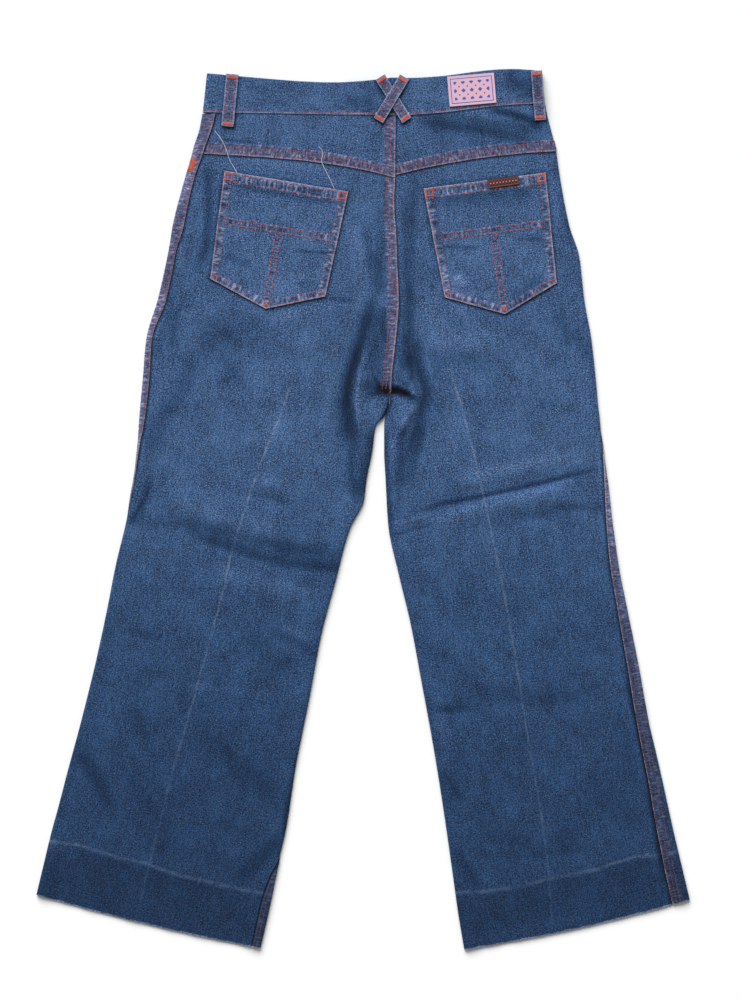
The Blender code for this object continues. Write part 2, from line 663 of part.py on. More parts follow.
def make_button():
    """The waist button, flat against the underside of the waistband."""
    bm = bmesh.new()
    bmesh.ops.create_cone(
        bm, cap_ends=True, segments=20, radius1=BUTTON_RADIUS * MM, radius2=BUTTON_RADIUS * MM, depth=BUTTON_HEIGHT * MM
    )
    rims = [edge for edge in bm.edges if abs(edge.verts[0].co.z - edge.verts[1].co.z) < 1e-6]
    bmesh.ops.bevel(bm, geom=rims, offset=0.4 * MM, segments=1, affect="EDGES", profile=0.5, material=-1)
    mesh = bpy.data.meshes.new("waist_button")
    bm.to_mesh(mesh)
    bm.free()
    mesh.shade_smooth()
    mesh.set_sharp_from_angle(angle=math.radians(35))
    mesh.materials.append(MATERIALS["button_metal"])
    button = bpy.data.objects.new("waist_button", mesh)
    button.location = Vector((*CENTRE_FRONT, BUTTON_LIFT - SEAM_GAP - BUTTON_HEIGHT / 2)) * MM
    button.parent = GARMENT
    bpy.context.scene.collection.objects.link(button)


for leftover in list(bpy.data.objects):
    bpy.data.objects.remove(leftover, do_unlink=True)

MATERIALS = {name: finish(name) for name in FINISHES}
GARMENT = bpy.data.objects.new("garment", None)
bpy.context.scene.collection.objects.link(GARMENT)
HALVES = {side: Half(side) for side in (LEFT, RIGHT)}

for each in HALVES.values():
    make_front(each)
    make_back(each)
    make_yoke(each)
    make_pocket(each)
make_waistband()
for loop in LOOPS:
    make_loop(named(STRIP_COLUMNS, loop))
make_patch(LABEL, on_waistband, "label_pink")
make_patch(TAB, on_pocket_hem, "tab_dark")
make_button()
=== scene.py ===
# Wide leg jeans laid flat with the back up: cloth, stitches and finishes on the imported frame.
# Lengths are in millimetres until a mesh is made. +X is the wearer's right, +Y the waist, +Z up.
import math

import bmesh
import bpy
import numpy as np
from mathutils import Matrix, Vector


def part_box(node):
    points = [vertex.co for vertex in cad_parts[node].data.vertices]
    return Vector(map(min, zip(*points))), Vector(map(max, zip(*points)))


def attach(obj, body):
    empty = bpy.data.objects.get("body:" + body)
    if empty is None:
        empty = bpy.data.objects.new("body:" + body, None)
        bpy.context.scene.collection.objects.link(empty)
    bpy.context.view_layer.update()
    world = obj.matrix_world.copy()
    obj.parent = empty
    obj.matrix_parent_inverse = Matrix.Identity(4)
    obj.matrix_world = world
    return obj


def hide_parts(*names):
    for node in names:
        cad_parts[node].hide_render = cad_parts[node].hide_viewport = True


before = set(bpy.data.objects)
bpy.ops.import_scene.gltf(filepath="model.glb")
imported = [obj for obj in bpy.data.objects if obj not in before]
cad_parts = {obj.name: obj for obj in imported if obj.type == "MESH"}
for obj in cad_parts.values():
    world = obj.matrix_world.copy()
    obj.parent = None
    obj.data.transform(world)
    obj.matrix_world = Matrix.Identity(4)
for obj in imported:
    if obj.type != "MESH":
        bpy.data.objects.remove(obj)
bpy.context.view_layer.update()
toMetres = 0.001
far = 99.0  # stands for no seam or edge nearby

# ---- meshes, objects and nodes


def unit(vectors):
    return vectors / np.linalg.norm(vectors, axis=-1, keepdims=True)


def meshFrom(bm, name):
    mesh = bpy.data.meshes.new(name)
    bm.to_mesh(mesh)
    bm.free()
    return mesh


def addObject(name, data):
    made = bpy.data.objects.new(name, data)
    bpy.context.scene.collection.objects.link(made)
    return made


def newMaterial(name):
    material = bpy.data.materials.new(name)
    material.use_nodes = True
    return material, material.node_tree, material.node_tree.nodes["Principled BSDF"]


def addNode(tree, kind, inputs=None, **settings):
    node = tree.nodes.new(kind)
    for key, value in settings.items():
        setattr(node, key, value)
    for socket, value in (inputs or {}).items():
        if isinstance(value, bpy.types.NodeSocket):
            tree.links.new(value, node.inputs[socket])
        else:
            node.inputs[socket].default_value = value
    return node


def calc(tree, operation, first, second=0.0, clamp=False):
    node = addNode(tree, "ShaderNodeMath", {0: first, 1: second}, operation=operation)
    node.use_clamp = clamp
    return node.outputs[0]


def times(tree, first, second):
    return calc(tree, "MULTIPLY", first, second)


def plus(tree, first, second):
    return calc(tree, "ADD", first, second)


def less(tree, first, second):
    return calc(tree, "SUBTRACT", first, second)


# 0 at low and under, 1 at high and over, and soft between; low may be the larger
def ramp(tree, value, low, high):
    inputs = {"Value": value, "From Min": low, "From Max": high}
    return addNode(tree, "ShaderNodeMapRange", inputs, interpolation_type="SMOOTHSTEP").outputs["Result"]


def mixColour(tree, share, first, second, blend="MIX"):
    node = addNode(tree, "ShaderNodeMix", {0: share, 6: first, 7: second}, data_type="RGBA", blend_type=blend)
    return node.outputs[2]


def noiseAt(tree, place, scale, detail=2.0, roughness=0.5, stretch=(1, 1, 1)):
    if stretch != (1, 1, 1):
        place = addNode(tree, "ShaderNodeMapping", {"Vector": place, "Scale": stretch}).outputs[0]
    inputs = {"Vector": place, "Scale": scale, "Detail": detail, "Roughness": roughness}
    return addNode(tree, "ShaderNodeTexNoise", inputs).outputs["Fac"]


def attribute(tree, name, output):
    return addNode(tree, "ShaderNodeAttribute", attribute_name=name).outputs[output]


# ---- studio

studio = {
    "lens": 100.0,  # long lens, looking straight down
    "sensor": 36.0,
    "aim": (0.0085, 0.009),
    "aimHeight": 0.006,  # the cloth's height, where the frame has the size below
    "frameHeight": 1.13,
    "floorSize": 12.0,
    "floorColour": (0.95, 0.95, 0.945, 1),
    "floorRoughness": 0.95,
    "floorGloss": 0.1,
    "skyLight": 0.3,
    "skySeen": 0.97,
    "lampPlace": (-0.9, 3.2, 2.6),
    "lampSize": 48.0,  # degrees of sky that the lamp fills
    "lampStrength": 3.95,
}


def makeCamera():
    lens = bpy.data.cameras.new("camera")
    lens.lens = studio["lens"]
    lens.sensor_width = studio["sensor"]
    eye = addObject("camera", lens)
    away = studio["frameHeight"] * studio["lens"] / studio["sensor"]
    eye.location = (*studio["aim"], studio["aimHeight"] + away)
    bpy.context.scene.camera = eye


def makeLight():
    light = bpy.data.lights.new("key", "SUN")
    light.angle = math.radians(studio["lampSize"])
    light.energy = studio["lampStrength"]
    lamp = addObject("key", light)
    lamp.location = studio["lampPlace"]
    lamp.rotation_euler = (-Vector(studio["lampPlace"])).to_track_quat("-Z", "Y").to_euler()
    world = bpy.data.worlds.new("studio")
    world.use_nodes = True
    bpy.context.scene.world = world
    tree = world.node_tree
    sky = tree.nodes["Background"]
    seen = addNode(tree, "ShaderNodeLightPath").outputs["Is Camera Ray"]
    levels = {"Value": seen, "To Min": studio["skyLight"], "To Max": studio["skySeen"]}
    tree.links.new(addNode(tree, "ShaderNodeMapRange", levels).outputs["Result"], sky.inputs["Strength"])
    sky.inputs["Color"].default_value = (1, 1, 1, 1)
    bpy.context.scene.view_settings.view_transform = "Standard"


def makeFloor():
    bm = bmesh.new()
    bmesh.ops.create_grid(bm, x_segments=1, y_segments=1, size=studio["floorSize"] / 2)
    floor = addObject("floor", meshFrom(bm, "floor"))
    paper, _, shader = newMaterial("paper")
    shader.inputs["Base Color"].default_value = studio["floorColour"]
    shader.inputs["Roughness"].default_value = studio["floorRoughness"]
    shader.inputs["Specular IOR Level"].default_value = studio["floorGloss"]
    floor.data.materials.append(paper)


makeCamera()
makeLight()
makeFloor()
print("studio ready")

# ---- the lie of the cloth, as in the frame

cut = {
    "cloth": 1.2,
    "bandCloth": 2.4,
    "fellRaise": 0.8,
    "fellWidth": 11.4,
    "fellStep": 1.0,
    "seamGap": 0.3,
    "turningGap": 0.7,
    "frontTopGap": 1.6,
    "foldRadius": 1.6,
    "bandFoldRadius": 1.5,
    "layerGap": 2.3,
    "hemGap": 0.9,
    "creaseScale": 1.3,  # how much deeper the creases are than the frame's
    "bandGap": 0.6,
    "bandLiftFrom": 385.0,
    "bandLiftTo": 420.0,
    "leastGap": 0.5,
    "foldFade": 0.3,
    "edgeRoll": 22.0,
    "skewScale": 10.4,  # makes a skew the greatest height of its curve
    "hemReach": 90.0,  # the layers come together over this much of the leg's end
    "halvings": 24,
    "bandMargin": 1.0,  # what lies this close under the waistband rests on it too
    "frontDrop": 24.0,
    "overlap": 17.0,
    "centreFront": (35.0, 455.0),
    "buttonRadius": 8.5,
    "buttonLift": 1.7,
    "buttonReach": 70.0,
    "overlapLift": 3.6,
    "overlapAcross": 62.0,
    "overlapDown": 150.0,
    "clear": 0.6,
}

# row, silhouette x y, centre or inner leg x y, outseam and inseam off their folds, fork, bow, skew
sections = {
    "left": (
        ("waist", -176, 491, 34, 486, 15, 0, 1, -6, 1.5),
        ("band", -181, 447, 37.5, 443, 15, 0, 1, 0.5, 0),
        ("yoke", -192, 401, 37, 373, 11.5, 0, 1, 6.5, -1),
        ("pocket top", -201, 370, 36, 348, 10, 0, 1, 4.5, 0),
        ("seat", -214, 319, 38, 312, 12, 0, 1, 2, 0),
        ("pocket base", -219, 289, 39, 282, 8, 0, 1, 1, 0),
        ("hip", -231, 235, 41, 235, 9, 0, 1, 0, 0),
        ("under hip", -244, 190, 38, 190, 6, 0, 1, 0, 0),
        ("rise end", -248, 145, 34, 154, 7, 0, 1, 0, 0),
        ("crotch", -251, 112, 31.9, 131, 6.5, 0, 1, 0, 0),
        ("dive", -251.5, 105, 30.1, 124, 6, 0, 0.5, 0, 0),
        ("point", -252, 99, 29, 117, 5.5, 0, 0, 0, 0),
        ("pouch", -252.6, 88, 25.2, 105, 4.5, -2, 0, 0, 0),
        ("notch", -253.5, 77, 15.5, 94, 3, -4, 0, 0, 0),
        ("thigh", -255.5, 58, 11, 64, 2.2, -5, 0, 0, 0),
        ("low thigh", -258, 37, 4.5, 31, 1.5, -5, 0, 0, 0),
        ("crease end", -262, 14, 2, 10, 0.6, -5, 0, 0, 0),
        ("over knee", -267, -14, -14, -23, -0.5, -5, 0, 0, 0),
        ("knee", -279, -64, -31, -85, -3, -5, 0, 0, 0),
        ("under knee", -289, -115, -46, -141, -6, -5, 0, 0, 0),
        ("calf", -302, -175, -60, -215, -8, -4.5, 0, 0, 0),
        ("mid calf", -318, -240, -75, -290, -9, -4, 0, 0, 0),
        ("low calf", -336, -307, -87, -366, -10, -2.5, 0, 0, 0),
        ("over ankle", -344, -338, -93.5, -394, -10.3, -0.5, 0, 0, 0),
        ("seam turn", -348, -352.5, -96.2, -407, -10.4, 2.6, 0, 0, 0),
        ("ankle", -352, -367, -99, -420, -10.5, 6, 0, 0, 0),
        ("over hem", -360, -400, -106, -454, -11, 10, 0, 0, 0),
        ("hem", -369, -437.5, -116, -498, -11, 9.5, 0, -3.5, 0),
    ),
    "right": (
        ("waist", 203, 493, 34, 486, -15, 0, 1, 2.5, 3),
        ("band", 206.8, 456.5, 37.5, 443, -15, 0, 1, 1, 1.5),
        ("yoke", 219, 403, 37, 376, -14, 0, 1, 5, 0),
        ("pocket top", 224, 370, 36, 348, -13.5, 0, 1, 4, 0),
        ("seat", 234, 319, 38, 312, -12.5, 0, 1, 2, 0),
        ("pocket base", 245, 285, 39, 282, -12, 0, 1, 1, 0),
        ("hip", 251, 235, 41, 235, -10, 0, 1, 0, 0),
        ("under hip", 259, 190, 38, 190, -8, 0, 1, 0, 0),
        ("rise end", 264, 145, 34, 154, -4, 0, 1, 0, 0),
        ("crotch", 267, 112, 32.1, 131, -2, 0, 1, 0, 0),
        ("dive", 268, 105, 31.9, 124, -1.5, 0, 0.5, 0, 0),
        ("point", 268.5, 99, 30, 117, -1, 0, 0, 0, 0),
        ("pouch", 269.5, 88, 25.8, 105, -0.5, -2, 0, 0, 0),
        ("notch", 271, 77, 24.5, 94, 0, -4, 0, 0, 0),
        ("thigh", 273, 58, 24.5, 64, 1.5, -5, 0, 0, 0),
        ("low thigh", 276, 37, 26, 34, 3, -6, 0, 0, 0),
        ("over knee", 282, -14, 29, -18, 6.5, -7, 0, 0, 0),
        ("knee", 289, -64, 41, -75, 9, -8, 0, 0, 0),
        ("under knee", 299, -115, 54, -129, 10.5, -9, 0, 0, 0),
        ("calf", 311, -175, 67, -198, 12, -10, 0, 0, 0),
        ("mid calf", 324, -240, 80, -269, 14, -11, 0, 0, 0),
        ("low calf", 339, -307, 92, -344, 16, -12, 0, 0, 0),
        ("ankle", 352, -365, 102, -414, 18.5, -13, 0, 0, 0),
        ("over hem", 361, -402, 108, -457, 20, -14, 0, 0, 0),
        ("hem", 371, -443, 115, -499.5, 21, -15, 0, -4.5, 0),
    ),
}
sectionKeys = ("outerX", "outerY", "innerX", "innerY", "outseam", "inseam", "fork", "bow", "skew")

# name: height, width or widths to the left and to the right of the path, path
folds = {
    "left crest": (
        3.6, 26, 9, ((11, 246), (1, 193), (-9, 160), (-12, 132), (-10, 114), (-7, 88), (-7, 42), (2, 8))
    ),
    "left trough": (
        -1.4, 8, 26, ((13, 290), (2, 246), (-8, 193), (-18, 160), (-21, 132), (-19, 110), (-14, 40))
    ),
    "right crest": (3.6, 9, 26, ((46, 215), (50, 168), (56, 136), (59, 125), (53, 107), (38, 82), (30, 40))),
    "right trough": (
        -1.4, 26, 8, ((49, 290), (57, 209), (61, 168), (68, 137), (71, 122), (64, 100), (45, 55))
    ),
    "rise keel": (1.8, 14, ((36, 330), (40, 240), (39, 190), (35, 150), (32, 120))),
    "right lip": (1.6, 14, 5, ((34, 160), (49, 141), (59, 124))),
    "hollow": (-3.6, 6, 7, ((30, 131), (42, 133), (56, 124))),
    "left lip": (1.3, 4, 12, ((10, 145), (22, 130), (26, 114), (12, 96))),
    "right knee crease": (-1.7, 26, 6, ((55, -10), (107, 3), (146, 15), (180, 22), (212, 28), (262, 42))),
    "under the crease": (2.2, 7, 32, ((58, -20), (107, -6), (146, 6), (180, 13), (212, 19), (256, 32))),
    "right short crease": (-1.2, 12, 5, ((28, -26), (53, -25), (78, -16))),
    "right low crease": (-1.0, 12, 10, ((44, -60), (64, -58), (88, -54))),
    "right leg dip": (-1.2, 16, 15, ((160, -16), (217, -8), (262, 2))),
    "right calf crease": (-1.0, 14, 9, ((76, -232), (100, -232), (128, -228))),
    "left knee crease": (
        -1.7, 24, 17, ((-250, -10), (-212, -12), (-168, -32), (-114, -49), (-65, -59), (-22, -70))
    ),
    "over left knee": (1.6, 22, ((-232, 22), (-160, 0), (-104, -14), (-40, -26))),
    "left thigh dip": (-1.2, 12, ((-136, 20), (-106, 13), (-80, 4))),
    "left side dip": (-1.3, 13, ((-240, 120), (-239, 46), (-254, -7), (-271, -52))),
    "left calf dip": (-1.1, 15, 13, ((-96, -140), (-65, -157), (-46, -180))),
    "left calf swell": (1.6, 26, ((-250, -262), (-228, -310), (-216, -345))),
    "right calf swell": (1.5, 28, ((140, -150), (158, -240), (178, -330))),
    "left hip side": (-1.3, 12, ((-176, 372), (-188, 310), (-196, 250))),
    "left hip ridge": (1.5, 16, ((-196, 300), (-212, 230), (-228, 150))),
    "right of rise": (-1.3, 14, 11, ((54, 372), (53, 300), (50, 240))),
    "right yoke dip": (-1.2, 13, ((52, 440), (110, 436), (170, 420))),
    "right hip side": (1.4, 14, ((224, 356), (238, 300), (246, 250))),
    "left seat": (1.4, 24, ((-150, 196), (-90, 188), (-40, 178))),
    "right seat": (1.3, 24, ((90, 190), (140, 184), (200, 180))),
}

# finer creases, too small for the frame
creases = {
    "crotch pinch": (-0.7, 2.5, 4, ((19, 147), (22, 132), (29, 126), (33, 122))),
    "left of the rise": (0.6, 5, 3, ((16, 178), (18, 160), (17, 148))),
    "under the hollow": (-0.5, 3, 6, ((34, 118), (28, 106), (24, 98))),
    "left seat crease": (-0.5, 5, 4, ((-37, 236), (-24, 233), (-12, 233))),
    "yoke left nick": (-0.4, 5, 4, ((-138, 417), (-129, 415), (-118, 413))),
    "right knee upper": (-0.5, 8, 4, ((214, 40), (236, 52), (256, 58))),
    "right shin crease": (-0.45, 8, 5, ((60, -120), (74, -118), (92, -113))),
    "right low shin": (-0.4, 8, 5, ((64, -151), (74, -148), (88, -146))),
    "left knee tail": (-0.4, 6, 5, ((-220, -92), (-190, -98), (-150, -92))),
    "left shin crease": (-0.4, 8, 6, ((-262, -190), (-236, -196), (-206, -190))),
    "left ankle dip": (-0.5, 12, 10, ((-330, -270), (-306, -296), (-290, -330))),
    "left ankle side": (-0.6, 12, 10, ((-150, -280), (-128, -300), (-112, -330))),
    "right ankle dip": (-0.5, 12, 10, ((250, -256), (262, -290), (266, -330))),
    "right ankle side": (-0.5, 12, 10, ((116, -300), (126, -330), (128, -362))),
    "left hip nick": (-0.5, 7, 5, ((-205, 300), (-192, 296), (-178, 300))),
    "left hip nick low": (-0.5, 7, 5, ((-214, 226), (-200, 222), (-186, 228))),
    "left thigh long": (-0.5, 16, 12, ((-196, 180), (-206, 120), (-210, 70))),
    "right thigh long": (-0.5, 14, 12, ((196, 160), (208, 110), (214, 60))),
}
everyFold = [*folds.values(), *creases.values()]

undulation = {"seed": 11, "waves": 16, "shortest": 22.0, "longest": 90.0, "height": 0.1}


def softStep(value):
    value = np.clip(value, 0, 1)
    return value * value * (3 - 2 * value)


def bump(distance, width):
    return np.cos(np.minimum(np.abs(distance) / width, 1) * np.pi / 2) ** 2


def slopesOf(knots, values):
    steps = np.diff(knots)
    rises = np.diff(values) / steps
    found = np.empty(len(values))
    found[0], found[-1] = rises[0], rises[-1]
    for k in range(1, len(values) - 1):
        before, after = rises[k - 1], rises[k]
        first, second = 2 * steps[k] + steps[k - 1], steps[k] + 2 * steps[k - 1]
        turnsBack = before * after <= 0
        found[k] = 0 if turnsBack else (first + second) / (first / before + second / after)
    return found


def readHalf(side):
    rows = sections[side]
    table = np.array([row[1:] for row in rows], float)
    middle = (table[:, 1] + table[:, 3]) / 2
    knots = middle[0] - middle
    columns = {key: table[:, n] for n, key in enumerate(sectionKeys)}
    return {
        "side": side,
        "sign": -1 if side == "left" else 1,  # turns a cross product of reach and drop outwards
        "knots": knots,
        "at": {row[0]: drop for row, drop in zip(rows, knots)},
        "columns": columns,
        "slopes": {key: slopesOf(knots, values) for key, values in columns.items()},
    }


def columnAt(half, key, drop):
    knots, values, slopes = half["knots"], half["columns"][key], half["slopes"][key]
    k = np.clip(np.searchsorted(knots, drop) - 1, 0, len(knots) - 2)
    span = knots[k + 1] - knots[k]
    t = (drop - knots[k]) / span
    return (
        (1 + 2 * t) * (1 - t) ** 2 * values[k]
        + t * (1 - t) ** 2 * span * slopes[k]
        + t * t * (3 - 2 * t) * values[k + 1]
        + t * t * (t - 1) * span * slopes[k + 1]
    )


def rowAt(half, drop, cloth=cut["cloth"], fold=cut["foldRadius"]):
    row = {key: columnAt(half, key, drop) for key in sectionKeys}
    acrossX, acrossY = row["innerX"] - row["outerX"], row["innerY"] - row["outerY"]
    row["span"] = np.hypot(acrossX, acrossY)
    row["alongX"], row["alongY"] = acrossX / row["span"], acrossY / row["span"]
    flip = np.where(row["alongX"] < 0, -1, 1)
    row["upX"], row["upY"] = -row["alongY"] * flip, row["alongX"] * flip
    row["fold"], row["cloth"], row["edge"] = fold, cloth, fold + cloth
    row["width"] = row["span"] + row["fork"] * row["edge"]
    row["quarter"] = fold * math.pi / 2
    row["length"] = row["width"] - 2 * row["edge"] + 2 * row["quarter"]
    row["below"] = 1 - softStep(drop / half["at"]["crotch"])
    row["hemNear"] = softStep((drop - half["at"]["hem"]) / cut["hemReach"] + 1)
    return row


def backEnd(row):
    return row["length"] - row["fork"] * row["quarter"] - (1 - row["fork"]) * row["inseam"]


def frontEnd(row):
    return -row["length"] + row["fork"] * row["quarter"] - (1 - row["fork"]) * row["inseam"]


def flatPlace(row, inward, onBack):
    t = np.clip(inward / row["span"], 0, 1)
    bow = row["bow"] * 4 * t * (1 - t) + row["skew"] * cut["skewScale"] * t * (1 - t) * (1 - 2 * t)
    x = row["outerX"] + row["alongX"] * inward + row["upX"] * bow
    y = row["outerY"] + row["alongY"] * inward + row["upY"] * bow
    lower = cut["frontDrop"] * row["below"] * np.sin(t * math.pi / 2) ** 2
    return x, y - np.where(onBack, 0, lower)


# nearest point of a path: distance, side (left is positive) and share of the path's length
def nearPath(path, x, y):
    path = np.array(path, float)
    steps = np.diff(path, axis=0)
    lengths = np.hypot(steps[:, 0], steps[:, 1])
    nearest = np.full(np.shape(x), np.inf)
    side, share, gone = np.zeros_like(nearest), np.zeros_like(nearest), 0.0
    for (startX, startY), (stepX, stepY), length in zip(path[:-1], steps, lengths):
        t = np.clip(((x - startX) * stepX + (y - startY) * stepY) / length**2, 0, 1)
        awayX, awayY = x - startX - stepX * t, y - startY - stepY * t
        distance = np.hypot(awayX, awayY)
        closer = distance < nearest
        nearest = np.where(closer, distance, nearest)
        side = np.where(closer, np.sign(stepX * awayY - stepY * awayX), side)
        share = np.where(closer, (gone + length * t) / lengths.sum(), share)
        gone += length
    return nearest, side, share


# long low waves over the whole cloth, each its two slopes and its shift
def makeWaves():
    chance = np.random.default_rng(undulation["seed"])
    count = undulation["waves"]
    lengths = np.geomspace(undulation["shortest"], undulation["longest"], count)
    headings = chance.uniform(0, 2 * math.pi, count)
    shifts = chance.uniform(0, 2 * math.pi, count)
    slopes = 2 * math.pi / lengths
    return np.stack((slopes * np.cos(headings), slopes * np.sin(headings), shifts), -1)


waves = makeWaves()


# sum of soft ridges along paths: amount, width or widths to the left and to the right, path
def ridgesAlong(ridges, pathEnd, x, y):
    total = np.zeros(np.shape(x))
    for amount, *widths, path in ridges:
        spots = np.array(path, float)
        reach = max(widths)
        low, high = spots.min(0) - reach, spots.max(0) + reach
        close = (x > low[0]) & (x < high[0]) & (y > low[1]) & (y < high[1])
        if not close.any():
            continue
        nearest, side, share = nearPath(path, x[close], y[close])
        width = np.where(side > 0, widths[0], widths[-1])
        ends = softStep(np.minimum(share, 1 - share) / pathEnd)
        total[close] += amount * ends * bump(nearest, width)
    return total


def foldHeight(x, y):
    total = cut["creaseScale"] * ridgesAlong(everyFold, cut["foldFade"], x, y)
    for waveX, waveY, shift in waves:
        total += undulation["height"] * np.sin(waveX * x + waveY * y + shift)
    return total


def buttonLift(x, y):
    centreX, centreY = cut["centreFront"]
    distance = np.hypot(x - centreX, y - centreY)
    return cut["buttonLift"] * bump(np.maximum(distance - cut["buttonRadius"], 0), cut["buttonReach"])


def overlapLift(x, y):
    centreX, centreY = cut["centreFront"]
    reach = cut["overlapAcross"]
    across = softStep((reach - np.abs(x - centreX)) / (reach - 2 * cut["overlap"]))
    return cut["overlapLift"] * across * bump(np.maximum(centreY - y, 0), cut["overlapDown"])


def opening(row, inward, x, y, gap=None):
    joined = 2 * cut["edgeRoll"] * np.maximum(row["fork"] - 0.5, 0)
    near = np.minimum(inward, row["width"] - inward + joined) - row["edge"]
    if gap is None:
        lift = softStep((y - cut["bandLiftFrom"]) / (cut["bandLiftTo"] - cut["bandLiftFrom"]))
        loose = cut["layerGap"] + (cut["hemGap"] - cut["layerGap"]) * row["hemNear"]
        gap = loose + foldHeight(x, y) + (cut["bandCloth"] - cut["cloth"]) * lift
    wanted = np.maximum(gap + overlapLift(x, y), cut["leastGap"])
    return 2 * row["fold"] + (wanted - 2 * row["fold"]) * softStep(near / cut["edgeRoll"])


# inner face of a wall, by the way round the tube from the outer edge and the way down from the waist
def lie(half, reach, drop, cloth=cut["cloth"], fold=cut["foldRadius"], gap=None):
    reach, drop = np.broadcast_arrays(np.asarray(reach, float), np.asarray(drop, float))
    row = rowAt(half, drop, cloth, fold)
    length, quarter = row["length"], row["quarter"]
    reach = np.where(reach > length, reach - 2 * length, reach)
    reach = np.where(reach < -length, reach + 2 * length, reach)
    onBack, way = reach >= 0, np.abs(reach)
    turn = np.minimum(np.minimum(way, length - way) / fold, math.pi / 2)
    inward = row["edge"] + way - quarter
    inward = np.where(way < quarter, row["edge"] - fold * np.cos(turn), inward)
    inward = np.where(way > length - quarter, row["width"] - row["edge"] + fold * np.cos(turn), inward)
    x, y = flatPlace(row, inward, onBack)
    floor = cloth + buttonLift(x, y)
    arc = floor + fold * (1 + np.sin(turn) * np.where(onBack, 1, -1))
    spread = floor + np.where(onBack, opening(row, inward, x, y, gap), 0)
    z = np.where(turn < math.pi / 2, arc, spread)
    return np.stack((x, y, z), -1)


# how far along a row of the back a place is, and how far above the row
def fromRow(row, x, y):
    inward = (x - row["outerX"]) * row["alongX"] + (y - row["outerY"]) * row["alongY"]
    flatX, flatY = flatPlace(row, inward, True)
    return inward, (x - flatX) * row["upX"] + (y - flatY) * row["upY"]


# height of the back's outer face over places on the floor plan
def backHeight(half, x, y, band=False):
    low = np.full(np.shape(x), half["at"]["waist"])
    high = np.full(np.shape(x), half["at"]["hem"])
    for _ in range(cut["halvings"]):
        middle = (low + high) / 2
        row = rowAt(half, middle)
        inward, above = fromRow(row, x, y)
        high = np.where(above > 0, middle, high)
        low = np.where(above > 0, low, middle)
    if band:
        row = rowAt(half, middle, cut["bandCloth"], cut["bandFoldRadius"])
    gap = cut["bandGap"] if band else None
    return row["cloth"] * 2 + buttonLift(x, y) + opening(row, inward, x, y, gap)


# top of whatever lies at a place: the waistband, a felled seam or a panel
def surfaceHeight(x, y):
    found = np.zeros(np.shape(x))
    for half in halves.values():
        ours = (x < cut["centreFront"][0]) == (half["side"] == "left")
        if not ours.any():
            continue
        placeX, placeY = x[ours], y[ours]
        _, above = fromRow(rowAt(half, np.full(placeX.shape, half["at"]["band"])), placeX, placeY)
        banded = backHeight(half, placeX, placeY, band=True)
        plain = backHeight(half, placeX, placeY) + cut["fellRaise"]
        found[ours] = np.where(above > -cut["bandMargin"], banded, plain)
    return found


halves = {side: readHalf(side) for side in sections}

# ---- node groups and finishes, whose measures are in metres

weave = {
    "noises": (  # scale, detail, roughness, stretch, weight
        (680, 3.0, 0.72, (1, 1, 1), 5.1),  # grain
        (700, 1.5, 0.5, (1, 0.11, 1), 1.0),  # slubs
        (520, 1.0, 0.5, (0.16, 1, 1), 0.35),  # weft
        (60, 3.0, 0.8, (1, 0.12, 1), 0.55),  # warp streaks
        (26, 3.0, 0.55, (1, 1, 1), 0.8),  # clouds
    ),
    "twill": 0.07,
    "twillPitch": 0.0011,
    "twillHeight": 0.3,
    "noiseHeight": 0.9,
    "level": 0.44,  # share of the light colour where every noise is at its middle
    "violet": (0.08, 0.075, 0.2, 1),
    "violetShare": 0.1,
    "violetScale": 170,
    "violetRange": (0.5, 0.72),
    "fleck": (0.33, 0.41, 0.62, 1),
    "fleckShare": 0.7,
    "fleckScale": 900,
    "fleckRange": (0.68, 0.78),
}
wornForm = {
    "wander": 0.0035,
    "wanderScale": 90,
    "patchScale": 60,
    "patchRange": (0.36, 0.62),
    "grainScale": 800,
    "grainRange": (0.3, 0.62),
}
puckerForm = {
    "edge": (0.96, 1.1),  # shares of the band's width between which the puckers end
    "squeeze": 0.35,  # makes a ridge longer across the band than along it
    "ridge": (0.52, 0.7),
    "valley": (0.5, 0.34),
}


def newGroup(name, inputs, outputs):
    group = bpy.data.node_groups.new(name, "ShaderNodeTree")
    for way, sockets in (("INPUT", inputs), ("OUTPUT", outputs)):
        for socket, kind in sockets.items():
            group.interface.new_socket(socket, in_out=way, socket_type="NodeSocket" + kind)
    return group, group.nodes.new("NodeGroupInput").outputs, group.nodes.new("NodeGroupOutput").inputs


# warp and weft of denim on the cloth's own place: grain, slubs and the diagonal of the twill
def makeWeaveGroup():
    group, given, made = newGroup(
        "denimWeave",
        {"Place": "Vector", "Dark": "Color", "Light": "Color"},
        {"Colour": "Color", "Height": "Float"},
    )
    place = given["Place"]
    split = addNode(group, "ShaderNodeSeparateXYZ", {0: place}).outputs
    diagonal = plus(group, split[0], split[1])
    twill = calc(group, "SINE", times(group, diagonal, 2 * math.pi / weave["twillPitch"]))
    total = times(group, twill, weave["twill"])
    for scale, detail, roughness, stretch, weight in weave["noises"]:
        noise = noiseAt(group, place, scale, detail, roughness, stretch)
        total = plus(group, total, times(group, less(group, noise, 0.5), weight))
    share = calc(group, "ADD", total, weave["level"], clamp=True)
    colour = mixColour(group, share, given["Dark"], given["Light"])
    tinted = mixColour(group, weave["violetShare"], colour, weave["violet"])
    violet = ramp(group, noiseAt(group, place, weave["violetScale"]), *weave["violetRange"])
    colour = mixColour(group, violet, colour, tinted)
    flecks = ramp(group, noiseAt(group, place, weave["fleckScale"], 0.0), *weave["fleckRange"])
    colour = mixColour(group, times(group, flecks, weave["fleckShare"]), colour, weave["fleck"])
    height = plus(group, times(group, twill, weave["twillHeight"]), times(group, total, weave["noiseHeight"]))
    group.links.new(colour, made["Colour"])
    group.links.new(height, made["Height"])
    return group


